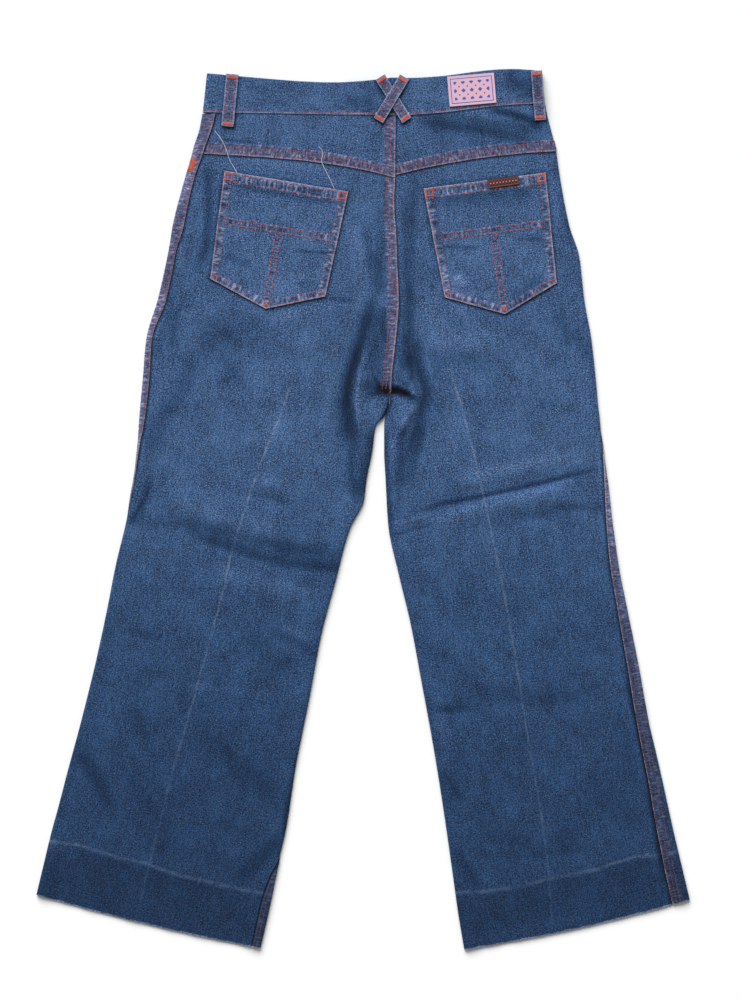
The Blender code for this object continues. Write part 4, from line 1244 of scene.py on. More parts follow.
# reaches and drops over a panel; towards is 1 round the back and -1 round the front
def panelGrid(half, top, towards, endOf, zones):
    drops = edgedSteps(top, half["at"]["hem"], panel["rows"])
    reaches = []
    for drop in drops:
        row = rowAt(half, drop)
        gap = cut["seamGap"] * row["fork"] + cut["turningGap"] * (1 - row["fork"])
        start = row["outseam"] + towards * cut["turningGap"] / 2
        reaches.append(reachesAcross(row, start, endOf(row) - towards * gap / 2, zones))
    return np.array(reaches), np.repeat(drops[:, None], len(reaches[0]), 1)


def panelValues(half, reach, drop, points, seamAway, rim, seam):
    x, y = points[..., 0], points[..., 1]
    rim = np.minimum(rim, (drop.max() - drop) * panel["hemWear"])
    shade = edgeShade(half, reach, drop, seam)
    values = denimValues(points, (reach, -drop), (seamAway, drop), rim, shade)
    for name, paths in (("creaseAway", pressedCreases), ("hemAway", oldHems)):
        nearest, side, _ = nearPath(paths[half["side"]], x, y)
        values[name] = nearest * side * toMetres
    return values


def makeBack(half):
    side = half["side"]
    zones = ((panel["rim"], 1), (0, panel["columns"]), *innerZones(half, panel["fellColumns"]))
    reach, drop = panelGrid(half, half["at"]["yoke"] + cut["seamGap"], 1, backEnd, zones)
    points = lie(half, reach, drop)
    away = reach[:, -1:] - reach
    joined = softStep(2 * rowAt(half, drop)["fork"] - 1)
    felled = joined * (side == "left")
    seamAway = np.where(felled > 0.5, away, far)
    seam = np.minimum(reach - reach[:, :1], drop - drop[0])
    if side == "right":
        seam = np.minimum(seam, away + far * (1 - joined))
    values = panelValues(half, reach, drop, points, seamAway, seamAway, seam)
    values["fade"] *= shadeUnder(points[..., 0], points[..., 1], [pockets["corners"][side]])
    walls = fellWall(away, drop, points[..., 2], felled)
    piece = makeCloth(f"back_{side}", points, walls, "panel", values)
    dress(f"back_{side}")


def makeFront(half):
    side = half["side"]
    count = panel["frontFellColumns"]
    outerZones = (cut["fellWidth"], count), (cut["fellStep"], panel["stepColumns"])
    zones = (*outerZones, (0, panel["frontColumns"]), *innerZones(half, count))
    reach, drop = panelGrid(half, half["at"]["band"] + cut["frontTopGap"], -1, frontEnd, zones)
    points = lie(half, reach, drop)
    outer, inner = reach[:, :1] - reach, reach - reach[:, -1:]
    walls = fellWall(outer, drop, points[..., 2])
    away, seam = outer, np.full_like(outer, far)
    if side == "left":
        walls = np.maximum(walls, fellWall(inner, drop, points[..., 2]))
        away, seam = np.minimum(outer, inner), inner
    rim = outer * (1 + drop / panel["frontWear"])
    values = panelValues(half, reach, drop, points, away, rim, seam)
    piece = makeCloth(f"front_{side}", points, walls, "panel", values, facesUp=False)
    dress(f"front_{side}")


for eachHalf in halves.values():
    makeFront(eachHalf)
    makeBack(eachHalf)
print("leg panels ready")

yoke = {"rows": 34, "columns": 110, "fellRows": 12}


def yokeEnds(row):
    return row["outseam"] + cut["turningGap"] / 2 + cut["seamGap"], backEnd(row) - cut["seamGap"] / 2


# a point of the yoke by its share across and its share down
def yokePlace(half, across, down):
    top, base = half["at"]["band"] + cut["clear"], half["at"]["yoke"]
    drop = top + (base - top) * down
    start, end = yokeEnds(rowAt(half, drop))
    return start + (end - start) * across, drop


# the yoke's height at shares across it
def yokeHeight(half, across):
    top, base = (lie(half, *yokePlace(half, across, np.full_like(across, share))) for share in (0, 1))
    return np.linalg.norm(top - base, axis=-1)


def makeYoke(half):
    side = half["side"]
    row = rowAt(half, half["at"]["yoke"])
    start, end = yokeEnds(row)
    zones = ((panel["rim"], 1), (0, yoke["columns"]), *innerZones(half, panel["fellColumns"]))
    across = (reachesAcross(row, start, end, zones) - start) / (end - start)
    height = yokeHeight(half, across)
    rim, fell = panel["rim"] / height, 1 - cut["fellWidth"] / height
    step = fell - cut["fellStep"] / height
    down = [np.zeros_like(across)]
    ones = np.ones_like(across)
    bands = (rim, 1), (step, yoke["rows"]), (fell, panel["stepColumns"]), (ones, yoke["fellRows"])
    for there, count in bands:
        here = down[-1]
        down += [here + (there - here) * n / count for n in range(1, count + 1)]
    down = np.array(down)
    across = np.broadcast_to(across, down.shape)
    reach, drop = yokePlace(half, across, down)
    points = lie(half, reach, drop)
    below = (1 - down) * height
    inside = reach[:, -1:] - reach if side == "left" else np.full_like(reach, far)
    walls = np.maximum(fellWall(below, reach, points[..., 2]), fellWall(inside, drop, points[..., 2]))
    seamAway, way = np.minimum(inside, below), np.where(inside < below, drop, reach)
    seam = np.minimum(reach - reach[:, :1], down * height)
    if side == "right":
        seam = np.minimum(seam, reach[:, -1:] - reach)
    shade = edgeShade(half, reach, drop, seam)
    shade *= shadeUnder(points[..., 0], points[..., 1], [loopOutline(node) for node in loops])
    values = denimValues(points, (reach, -drop), (seamAway, way), seamAway, shade)
    piece = makeCloth(f"yoke_{side}", points, walls, "yoke", values)
    dress(f"yoke_{side}")


for eachHalf in halves.values():
    makeYoke(eachHalf)
print("yokes ready")

waistband = {
    "depthSteps": 20,
    "underSteps": 60,
    "overSteps": 96,
    "lapSteps": 20,
    "rim": 0.012,
    "stitchIn": 2.2,
    "dent": 0.3,
    "dentWidth": 1.6,
    "ripple": 0.12,
    "rippleWidth": 7.0,
    "topWear": 2.2,  # the larger, the narrower the top's worn edge
}
bandLie = {"cloth": cut["bandCloth"], "fold": cut["bandFoldRadius"], "gap": cut["bandGap"]}


# the band's end past the centre front: the left one flat, the right one stepping over it
def bandLap(row, side, inward):
    x, y = flatPlace(row, inward, False)
    height = cut["bandCloth"] + buttonLift(x, y)
    if side == "right":
        step = np.clip((inward - row["span"] + 2 * cut["overlap"]) / cut["overlap"], 0, 1)
        height = height + (cut["bandCloth"] + cut["seamGap"]) * step
    return np.stack((x, y, height), -1)


# inner face of one half of the band, at a share of its depth, from the centre front to the centre back
def bandLine(half, share):
    drop = half["at"]["band"] * share
    row = rowAt(half, drop, cut["bandCloth"], cut["bandFoldRadius"])
    centre = row["length"] - row["quarter"]
    lap = np.linspace(row["span"] + cut["overlap"], row["span"] - 2 * cut["overlap"], waistband["lapSteps"])
    under = shareOut(row, 3 * cut["overlap"] - centre, -row["quarter"], waistband["underSteps"])
    over = shareOut(row, -row["quarter"], centre, waistband["overSteps"])
    reach = np.concatenate((under, over[1:]))
    laid = lie(half, reach, np.full_like(reach, drop), **bandLie)
    return np.concatenate((bandLap(row, half["side"], lap), laid))


def makeWaistband():
    shares = edgedSteps(0, 1, waistband["depthSteps"], waistband["rim"])
    points = []
    for share in shares:
        left, right = (bandLine(half, share) for half in halves.values())
        points.append(np.concatenate((left, right[::-1][1:])))
    points = np.array(points)
    middle = points[len(points) // 2]
    along = np.concatenate(([0], np.cumsum(np.linalg.norm(np.diff(middle, axis=0), axis=1))))
    along = np.broadcast_to(along, points.shape[:2])
    deep = float(np.mean([half["at"]["band"] for half in halves.values()]))
    down = np.repeat((shares * deep)[:, None], points.shape[1], 1)
    fromRow = deep - down - waistband["stitchIn"]
    ripple = rippleAlong("band", along) * bump(fromRow, waistband["rippleWidth"])
    walls = cut["bandCloth"] - waistband["dent"] * bump(fromRow, waistband["dentWidth"])
    walls += waistband["ripple"] * ripple
    edgeAway = np.minimum(down * waistband["topWear"], deep - down)
    shade = shadeUnder(points[..., 0], points[..., 1], [loopOutline(node) for node in loops])
    values = denimValues(points, (-down, along), (deep - down, along), edgeAway, shade)
    piece = makeCloth("waistband", points, walls, "band", values)
    dress("waistband")


makeWaistband()
print("waistband ready")


# each edge of an outline as its start and its direction
def edgesOf(corners):
    edges = []
    for (startX, startY), (endX, endY) in zip(corners, corners[1:] + corners[:1]):
        length = math.hypot(endX - startX, endY - startY)
        edges.append((startX, startY, (endX - startX) / length, (endY - startY) / length))
    return edges


# distance inside the top edge and the way along it, then the same for the nearest of the other edges
def edgeFacts(corners, x, y):
    insides, ways = [], []
    for n, (startX, startY, alongX, alongY) in enumerate(edgesOf(corners)):
        insides.append((x - startX) * alongY - (y - startY) * alongX)
        offset = pockets["sideOffset"] * max(n - 1, 0)
        ways.append((x - startX) * alongX + (y - startY) * alongY + offset)
    nearest = np.argmin(insides[1:], 0)[None]
    side, way = (np.take_along_axis(np.array(facts[1:]), nearest, 0)[0] for facts in (insides, ways))
    return insides[0], ways[0], side, way


def pocketWall(corners, x, y):
    top, _, side, way = edgeFacts(corners, x, y)
    hem = pockets["hemRaise"] * softStep((pockets["hem"] - top) / pockets["stepWidth"])
    turned = pockets["turnRaise"] * softStep((pockets["turn"] - side) / pockets["stepWidth"])
    dents = bump(side - pockets["edgeRow"], pockets["edgeDentWidth"])
    dents = dents + bump(side - pockets["innerRow"], pockets["dentWidth"])
    dents = dents + sum(bump(top - row, pockets["dentWidth"]) for row in pockets["hemRows"])
    ripple = rippleAlong("pocket", way) * bump(side - pockets["rippleAt"], pockets["rippleWidth"])
    ripple = ripple * (top > pockets["rippleTop"])
    raised = np.maximum(hem, turned) + pockets["ripple"] * ripple
    return cut["cloth"] + raised - pockets["dent"] * np.minimum(dents, 1)


# ends of the double row across a pocket, the start and end of the one down it, and the ways across and down
def pocketLines(corners):
    topLeft, topRight, lowRight, tip, lowLeft = (np.array(corner, float) for corner in corners)
    leftMid = topLeft + (lowLeft - topLeft) * pockets["crossShare"]
    rightMid = topRight + (lowRight - topRight) * pockets["crossShare"]
    across = unit(rightMid - leftMid)
    middle = leftMid + (rightMid - leftMid) * tipShare(corners)
    return leftMid, rightMid, middle, tip, across, np.array((across[1], -across[0]))


# how far across the lower edge the tip is
def tipShare(corners):
    lowRight, tip, lowLeft = (np.array(corner, float) for corner in corners[2:])
    before, after = np.linalg.norm(tip - lowLeft), np.linalg.norm(lowRight - tip)
    return before / (before + after)


# puckers follow whichever row is nearest, so each row stands for a distance from the edge
def pocketPuckers(corners, x, y):
    top, topWay, side, way = edgeFacts(corners, x, y)
    leftMid, rightMid, middle, tip, _, down = pocketLines(corners)
    gap = down * pockets["rowGap"]
    nearer = []
    for path in ((leftMid + gap / 2, rightMid + gap / 2), (middle + gap, tip)):
        nearest, _, share = nearPath(path, x, y)
        nearer.append((nearest / pockets["puckerReach"], share * pockets["rowLength"] + pockets["rowOffset"]))
    nearer.append((np.abs(top - pockets["hemPucker"]) / pockets["hemPuckerReach"], topWay))
    for away, along in nearer:
        closer = away * pockets["turn"] < side
        side, way = np.where(closer, away * pockets["turn"], side), np.where(closer, along, way)
    return side, way


def makePocket(half):
    name = f"pocket_{half['side']}"
    corners = pockets["corners"][half["side"]]
    topLeft, topRight, lowRight, tip, lowLeft = (np.array(corner, float) for corner in corners)
    atTip, count = tipShare(corners), pockets["steps"]
    leftSteps = edgedSteps(0, atTip, round(count * atTip), pockets["rim"])
    rightSteps = edgedSteps(atTip, 1, round(count * (1 - atTip)), pockets["rim"])
    across = np.concatenate((leftSteps, rightSteps[1:]))[:, None]
    down = edgedSteps(0, 1, count, pockets["rim"])[:, None, None]
    upper = topLeft + (topRight - topLeft) * across
    fall = lowLeft + (tip - lowLeft) * np.clip(across / atTip, 0, 1)
    rise = tip + (lowRight - tip) * np.clip((across - atTip) / (1 - atTip), 0, 1)
    lower = np.where(across < atTip, fall, rise)
    place = upper[None] + (lower - upper)[None] * down
    x, y = place[..., 0], place[..., 1]
    points = np.stack((x, y, backHeight(half, x, y) + cut["seamGap"]), -1)
    top, _, side, _ = edgeFacts(corners, x, y)
    puckers = pocketPuckers(corners, x, y)
    shiftX, shiftY = pockets["weaveShift"]
    values = denimValues(points, (x + shiftX, y + shiftY), puckers, np.minimum(top, side), shading["pocket"])
    piece = makeCloth(name, points, pocketWall(corners, x, y), "pocket", values)
    wide, high = np.linalg.norm(topRight - topLeft), np.linalg.norm((topLeft + topRight) / 2 - tip)
    flat = (float(wide) * toMetres, float(high) * toMetres)
    outline = np.array(corners)
    turned = np.roll(outline, -1, 0)
    area = abs(float(np.sum(outline[:, 0] * turned[:, 1] - turned[:, 0] * outline[:, 1]))) / 2
    area = min(area * toMetres**2, flat[0] * flat[1])
    dress(name)


for eachHalf in halves.values():
    makePocket(eachHalf)
print("pockets ready")

loopForm = {
    "cloth": 1.6,
    "lift": 0.5,
    "crossing": (34.0, 461.0),
    "crossRadius": 11.0,
    "crossReach": 14.0,
    "rows": 64,
    "columns": 12,
    "endRim": 0.008,
    "sideRim": 0.07,
    "stitchIn": 4.1,
    "dent": 0.25,
    "dentWidth": 1.5,
    "endRaise": 0.35,  # the ends are turned under, which makes them thicker here
    "endAt": 3.0,
    "endWidth": 3.5,
    "probe": 2.5,  # what lies this far above and below a place carries the loop too
    "rowSteps": 60,
    "rowEnd": 0.11,
    "rowSink": 0.2,
    "tackLift": 0.15,
    "tackTop": 3.6,
    "tackBase": 3.2,
    "tackShare": 0.78,
    "tackSteps": 15,
    "tackLength": 4.2,
}


# inner face of a loop by its share across, from -1 to 1, and its share down
def loopPlace(node, across, down):
    top, along, side, _ = loopFrame(node)
    x, y = (top[n] + along[n] * down + side[n] * across for n in (0, 1))
    probe = loopForm["probe"]
    z = np.max([surfaceHeight(x, y + shift) for shift in (-probe, 0, probe)], axis=0)
    z = z + cut["clear"] + loopForm["lift"] * np.sin(np.clip(down, 0, 1) * math.pi)
    if loops[node][-1]:
        crossX, crossY = loopForm["crossing"]
        away = np.hypot(x - crossX, y - crossY) - loopForm["crossRadius"]
        z = z + (loopForm["cloth"] + cut["seamGap"]) * bump(np.maximum(away, 0), loopForm["crossReach"])
    return np.stack((x, y, z), -1)


def makeLoop(node):
    width, length = loops[node][2], loopFrame(node)[-1]
    steps = edgedSteps(0, 1, loopForm["rows"], loopForm["endRim"])
    sideSteps = edgedSteps(-1, 1, loopForm["columns"], loopForm["sideRim"])
    down, across = np.meshgrid(steps, sideSteps, indexing="ij")
    points = loopPlace(node, across, down)
    inside = (1 - np.abs(across)) * width / 2
    toEnd = np.minimum(down, 1 - down) * length
    walls = loopForm["cloth"] - loopForm["dent"] * bump(inside - loopForm["stitchIn"], loopForm["dentWidth"])
    walls += loopForm["endRaise"] * bump(toEnd - loopForm["endAt"], loopForm["endWidth"])
    place, seam = (across * width / 2, down * length), (inside, down * length)
    values = denimValues(points, place, seam, np.minimum(inside, toEnd))
    piece = makeCloth(node, points, walls, "loop", values)
    dress(node)


for loopName in loops:
    makeLoop(loopName)
print("belt loops ready")

label = {
    "x": 123.5,
    "y": 472.5,
    "width": 53.0,
    "height": 34.0,
    "turn": 5.0,
    "ground": (0.72, 0.47, 0.6),
    "border": (0.09, 0.09, 0.36),
    "lozenge": (0.08, 0.09, 0.36),
    "dot": (0.6, 0.05, 0.09),
    "pitch": 0.0094,  # of the lozenges, in metres as in every material
    "inset": 0.0032,
}
tab = {
    "x": 159.0,
    "y": 368.2,
    "width": 35.0,
    "height": 10.0,
    "turn": 7.5,
    "ground": (0.045, 0.014, 0.018),
    "border": (0.17, 0.045, 0.035),
    "lozenge": (0.62, 0.24, 0.16),
    "dot": (0.35, 0.11, 0.07),
    "pitch": 0.0036,
    "inset": 0.0012,
}
patchForm = {
    "cloth": 1.0,
    "dent": 0.18,
    "stitchIn": 1.6,
    "dentWidth": 1.2,
    "rows": 26,
    "columns": 40,
    "rowRim": 0.012,
    "columnRim": 0.008,
    "borderWidth": 0.00045,
    "lozenge": 0.27,  # shares of the lozenges' pitch
    "dot": 0.86,
    "margin": 0.35,
    "yarnScale": 1500,
    "yarnShade": 0.55,
    "yarnShare": 0.35,
}


def patchPlace(patch, across, up, under):
    turn = math.radians(patch["turn"])
    x = patch["x"] + math.cos(turn) * patch["width"] * across - math.sin(turn) * patch["height"] * up
    y = patch["y"] + math.sin(turn) * patch["width"] * across + math.cos(turn) * patch["height"] * up
    return np.stack((x, y, under(x, y) + cut["clear"]), -1)


def onWaistband(x, y):
    return backHeight(halves["right"], x, y, band=True)


def onPocketHem(x, y):
    return backHeight(halves["right"], x, y) + cut["seamGap"] + cut["cloth"] + pockets["hemRaise"]


# woven cloth with a border and small lozenges, on the patch's own place from its middle
def makeWoven(name, patch):
    material, tree, shader = newMaterial(name)
    place = attribute(tree, "clothPlace", "Vector")
    split = addNode(tree, "ShaderNodeSeparateXYZ", {0: place}).outputs
    edges, cells = [], []
    for n, size in enumerate((patch["width"], patch["height"])):
        edges.append(less(tree, size / 2 * toMetres, calc(tree, "ABSOLUTE", split[n])))
        cells.append(calc(tree, "PINGPONG", split[n], patch["pitch"] / 2))
    edge, cell = calc(tree, "MINIMUM", *edges), plus(tree, *cells)
    inner = calc(tree, "GREATER_THAN", edge, patch["inset"] + patch["pitch"] * patchForm["margin"])
    lozenge = calc(tree, "LESS_THAN", cell, patch["pitch"] * patchForm["lozenge"])
    dot = calc(tree, "GREATER_THAN", cell, patch["pitch"] * patchForm["dot"])
    border = {0: edge, 1: patch["inset"], 2: patchForm["borderWidth"]}
    border = addNode(tree, "ShaderNodeMath", border, operation="COMPARE").outputs[0]
    yarn = noiseAt(tree, place, patchForm["yarnScale"], 1.0, 0.5, (1, 0.3, 1))
    ground = patch["ground"]
    darker = [channel * patchForm["yarnShade"] for channel in ground]
    colour = mixColour(tree, times(tree, yarn, patchForm["yarnShare"]), (*ground, 1), (*darker, 1))
    colour = mixColour(tree, border, colour, (*patch["border"], 1))
    for mask, tint in ((lozenge, patch["lozenge"]), (dot, patch["dot"])):
        colour = mixColour(tree, times(tree, mask, inner), colour, (*tint, 1))
    roughness = plus(tree, times(tree, yarn, 0.2), 0.55)
    joinFinish(tree, shader, colour, yarn, 0.5, 0.0002, roughness, 0.3)
    return material


finishes["label"] = makeWoven("labelCloth", label)
finishes["tab"] = makeWoven("tabCloth", tab)


def makePatch(node, patch, under, finish):
    wide, high = patch["width"], patch["height"]
    rises = edgedSteps(0.5, -0.5, patchForm["rows"], -patchForm["rowRim"])
    shares = edgedSteps(-0.5, 0.5, patchForm["columns"], patchForm["columnRim"])
    up, across = np.meshgrid(rises, shares, indexing="ij")
    points = patchPlace(patch, across, up, under)
    edge = np.minimum((0.5 - np.abs(across)) * wide, (0.5 - np.abs(up)) * high)
    dents = bump(edge - patchForm["stitchIn"], patchForm["dentWidth"])
    walls = patchForm["cloth"] - patchForm["dent"] * dents
    piece = makeCloth(node, points, walls, finish, {"clothPlace": spread(across * wide, up * high)})
    dress(node)


makePatch("waist_label", label, onWaistband, "label")
makePatch("pocket_tab", tab, onPocketHem, "tab")
print("label and tab ready")

button = {"radius": 8.5, "height": 1.2, "rim": 0.9, "dish": 0.45, "steps": 40}


def makeMetal():
    material, tree, shader = newMaterial("wornMetal")
    tarnish = noiseAt(tree, addNode(tree, "ShaderNodeTexCoord").outputs["Object"], 420, 4.0, 0.6)
    colour = mixColour(tree, ramp(tree, tarnish, 0.4, 0.7), (0.56, 0.5, 0.4, 1), (0.2, 0.17, 0.13, 1))
    tree.links.new(colour, shader.inputs["Base Color"])
    tree.links.new(plus(tree, times(tree, tarnish, 0.4), 0.15), shader.inputs["Roughness"])
    shader.inputs["Metallic"].default_value = 1.0
    return material


# turned disc: a rolled rim round a shallow dish with a plain raised ring
def makeButton():
    radius, height, rim = button["radius"], button["height"], button["rim"]
    floor = 0.5 * height - button["dish"]
    outline = (
        (0, -0.5 * height), (radius - 0.5, -0.5 * height), (radius - 0.12, -0.36 * height), (radius, 0),
        (radius - 0.12, 0.36 * height), (radius - 0.5, 0.5 * height), (radius - rim, 0.4 * height),
        (radius - rim - 0.5, floor), (radius * 0.5, floor), (radius * 0.42, 0.35 * height),
        (radius * 0.34, 0.35 * height), (radius * 0.26, floor), (0, floor),
    )
    bm = bmesh.new()
    profile = [bm.verts.new((r * toMetres, 0, z * toMetres)) for r, z in outline]
    edges = [bm.edges.new(pair) for pair in zip(profile, profile[1:])]
    full = {"angle": 2 * math.pi, "steps": button["steps"], "use_merge": True}
    bmesh.ops.spin(bm, geom=[*profile, *edges], cent=(0, 0, 0), axis=(0, 0, 1), **full)
    bmesh.ops.remove_doubles(bm, verts=bm.verts, dist=1e-6)
    bmesh.ops.recalc_face_normals(bm, faces=bm.faces)
    low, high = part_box("waist_button")
    bmesh.ops.translate(bm, verts=bm.verts, vec=(low + high) / 2)
    mesh = meshFrom(bm, "waist_button_metal")
    mesh.shade_smooth()
    mesh.materials.append(makeMetal())
    piece = addObject("waist_button_metal", mesh)
    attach(piece, "root")
    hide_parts("waist_button")


makeButton()
print("button ready")

# ---- stitches

stitch = {
    "pitch": 3.1,
    "length": 2.85,
    "width": 1.2,
    "height": 0.7,
    "sink": 0.06,
    "wander": 0.12,
    "look": 0.8,  # a row's direction is read this far to either side
}
tack = {"pitch": 0.62, "width": 0.72, "height": 0.6, "lean": 0.12, "lift": 0.1}
bar = {"width": 0.8, "height": 0.7}  # threads of the short bars on the loops and at the front pocket
pocketBars = {"inset": 5.6, "square": 3.6, "length": 9.0, "short": 6.0, "width": 1.8}
outseamBar = {"from": 108.0, "to": 120.0, "threads": 19, "inset": 7.5, "length": 7.0}
nudge = 0.5  # step over which a face's slope is read
chance = np.random.default_rng(5)


# positions and outward normals of a wall's outer face
def onFace(place, u, v, wall, sign):
    alongU = place(u + nudge, v) - place(u - nudge, v)
    alongV = place(u, v + nudge) - place(u, v - nudge)
    normal = unit(np.cross(alongU, alongV) * sign)
    return place(u, v) + normal * wall, normal


# the same on anything that is a height over the floor plan
def onPlan(height, x, y):
    z = height(x, y)
    slopeX = (height(x + nudge, y) - height(x - nudge, y)) / (2 * nudge)
    slopeY = (height(x, y + nudge) - height(x, y - nudge)) / (2 * nudge)
    return np.stack((x, y, z), -1), unit(np.stack((-slopeX, -slopeY, np.ones_like(z)), -1))


# threads by their middles, directions, sides, normals, lengths, widths and heights
def threadsAt(centre, tangent, normal, longs, wide, high):
    sizes = (np.broadcast_to(size, len(centre)) for size in (longs, wide, high))
    return centre, tangent, np.cross(normal, tangent), normal, *sizes


def stitchesAlong(spots, normals):
    gone = np.concatenate(([0], np.cumsum(np.linalg.norm(np.diff(spots, axis=0), axis=1))))
    count = max(1, int(gone[-1] / stitch["pitch"]))
    at = (np.arange(count) + 0.5) * gone[-1] / count
    at = at + chance.uniform(-stitch["wander"], stitch["wander"], count)

    def read(values, where):
        return np.stack([np.interp(where, gone, values[:, n]) for n in range(3)], -1)

    centre, normal = read(spots, at), read(normals, at)
    tangent = unit(read(spots, at + stitch["look"]) - read(spots, at - stitch["look"]))
    aside = chance.uniform(-stitch["wander"], stitch["wander"], (count, 1))
    centre = centre + np.cross(normal, tangent) * aside - normal * stitch["sink"]
    longs = stitch["length"] * chance.uniform(0.9, 1.05, count)
    return threadsAt(centre, tangent, normal, longs, stitch["width"], stitch["height"])


# a direction turned into the surface that the normals stand on
def flattened(direction, normals):
    return unit(direction - normals * np.sum(direction * normals, 1, keepdims=True))


# a bar tack: close threads across a short bar, from its middle, its long direction and its size
def tackAt(height, x, y, heading, long, wide):
    count = max(3, int(long / tack["pitch"]))
    way = np.linspace(-long / 2, long / 2, count)
    spots, normals = onPlan(height, x + math.cos(heading) * way, y + math.sin(heading) * way)
    across = np.array((-math.sin(heading), math.cos(heading), 0.0))
    ahead = np.array((math.cos(heading), math.sin(heading), 0.0))
    tilt = np.where(np.arange(count) % 2 == 0, tack["lean"], -tack["lean"])[:, None]
    tangent = flattened(across + ahead * tilt, normals)
    longs = wide * chance.uniform(0.92, 1.08, count)
    return threadsAt(spots + normals * tack["lift"], tangent, normals, longs, tack["width"], tack["height"])


# one small ball for each thread, stretched along it
def sew(name, groups, finish):
    centre, tangent, side, normal, longs, wides, highs = (np.concatenate(parts) for parts in zip(*groups))
    bm = bmesh.new()
    bmesh.ops.create_uvsphere(bm, u_segments=6, v_segments=4, radius=1)
    one = meshFrom(bm, name)
    ball = np.array([vert.co for vert in one.vertices])
    piece = addObject(name, one)
    array = piece.modifiers.new("stitches", "ARRAY")
    array.count = len(centre)
    array.use_relative_offset = False
    made = bpy.data.meshes.new_from_object(piece.evaluated_get(bpy.context.evaluated_depsgraph_get()))
    piece.modifiers.clear()
    piece.data = made
    made.name = name
    spots = centre[:, None]
    for n, (way, sizes) in enumerate(((side, wides), (-normal, highs), (tangent, longs))):
        spots = spots + way[:, None] * (ball[None, :, n : n + 1] * sizes[:, None, None] / 2)
    spots[..., 2] = np.maximum(spots[..., 2], 0)
    made.vertices.foreach_set("co", (spots * toMetres).astype(np.float32).ravel())
    made.update()
    made.shade_smooth()
    made.materials.append(finishes[finish])
    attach(piece, "root")
    print(f"  {name}: {len(centre)} stitches")


seams = {  # where rows of stitches start and end, in millimetres from the seam that crosses them
    "wall": cut["cloth"] + cut["fellRaise"] - panel["dent"],
    "topGap": 3.0,
    "hemGap": 1.0,
    "outseamSteps": 700,
    "inseamSteps": 600,
    "yokeSteps": 300,
    "yokeEnd": 0.004,
    "riseUpper": (2.0, 0.5, 90),  # the centre seam above the yoke's seam: gap at the top and base, steps
    "riseLower": (1.0, 3.5, 240),  # and below it
    "bandEnd": 0.5,
    "bandSteps": 500,
}


def halfRow(half, reachOf, drops):
    reach = reachOf(rowAt(half, drops))
    return stitchesAlong(*onFace(lambda u, v: lie(half, u, v), reach, drops, seams["wall"], half["sign"]))


# a row of stitches across the yoke's lower seam
def yokeRow(half, inside):
    shares = np.linspace(seams["yokeEnd"], 1 - seams["yokeEnd"], seams["yokeSteps"])
    wide, high = 200, 60  # about the yoke's size, so that a nudge is a real distance

    def place(u, v):
        return lie(half, *yokePlace(half, u / wide, v / high))

    down = 1 - inside / yokeHeight(half, shares)
    return stitchesAlong(*onFace(place, shares * wide, down * high, seams["wall"], half["sign"]))


def seamRows(half):
    at = half["at"]
    drops = np.linspace(at["band"] + seams["topGap"], at["hem"] - seams["hemGap"], seams["outseamSteps"])
    rows = []
    for inside in panel["stitchRows"]:
        rows.append(halfRow(half, lambda row: row["outseam"] - cut["turningGap"] / 2 - inside, drops))
        rows.append(yokeRow(half, inside))
    if half["side"] == "right":
        return rows
    stretches = []
    for top, base, kind in (("band", "yoke", "riseUpper"), ("yoke", "crotch", "riseLower")):
        topGap, baseGap, steps = seams[kind]
        stretches.append(np.linspace(at[top] + topGap, at[base] - baseGap, steps))
    for inside in panel["stitchRows"]:
        for drops in stretches:
            rows.append(halfRow(half, lambda row: backEnd(row) - cut["seamGap"] / 2 - inside, drops))
    return rows


def inseamRows(half):
    drops = np.linspace(half["at"]["pouch"], half["at"]["hem"] - seams["hemGap"], seams["inseamSteps"])
    return [
        halfRow(half, lambda row: frontEnd(row) + cut["turningGap"] / 2 + inside, drops)
        for inside in panel["stitchRows"]
    ]


for eachSide, eachHalf in halves.items():
    sew(f"seam_stitches_{eachSide}", seamRows(eachHalf), "threadSeam")
sew("inseam_stitches_left", inseamRows(halves["left"]), "threadInseam")


# the corners moved in by a distance from every edge
def insetPath(corners, inside):
    lines = [
        (startX + alongY * inside, startY - alongX * inside, alongX, alongY)
        for startX, startY, alongX, alongY in edgesOf(corners)
    ]
    moved = []
    for (px, py, ux, uy), (qx, qy, vx, vy) in zip(lines[-1:] + lines[:-1], lines):
        t = ((qx - px) * vy - (qy - py) * vx) / (ux * vy - uy * vx)
        moved.append((px + ux * t, py + uy * t))
    return moved


# stitches along a path on the floor plan
def planRow(height, points):
    spots = []
    for start, end in zip(points, points[1:]):
        count = max(2, int(math.dist(start, end)))
        spots.append(np.linspace(start, end, count))
    path = np.concatenate(spots)
    keep = np.concatenate(([True], np.linalg.norm(np.diff(path, axis=0), axis=1) > 1e-6))
    return stitchesAlong(*onPlan(height, *path[keep].T))


# square tacks at the mouth's corners, short ones at the other corners
def pocketTacks(corners, height):
    inner = insetPath(corners, pocketBars["inset"])
    wide, square = pocketBars["width"], pocketBars["square"]
    mouth = np.subtract(corners[1], corners[0])
    tacks = []
    for corner, along in ((inner[0], mouth), (inner[1], -mouth)):
        for turn in (0, math.pi / 2):
            heading = math.atan2(along[1], along[0]) + turn
            for shift in (-square, square):
                x, y = corner[0] - math.sin(heading) * shift, corner[1] + math.cos(heading) * shift
                tacks.append(tackAt(height, x, y, heading, pocketBars["length"], wide))
    for corner, heading in ((inner[2], 0.2), (inner[3], 0.9), (inner[3], 2.3), (inner[4], -0.4)):
        tacks.append(tackAt(height, *corner, heading, pocketBars["short"], wide))
    return tacks


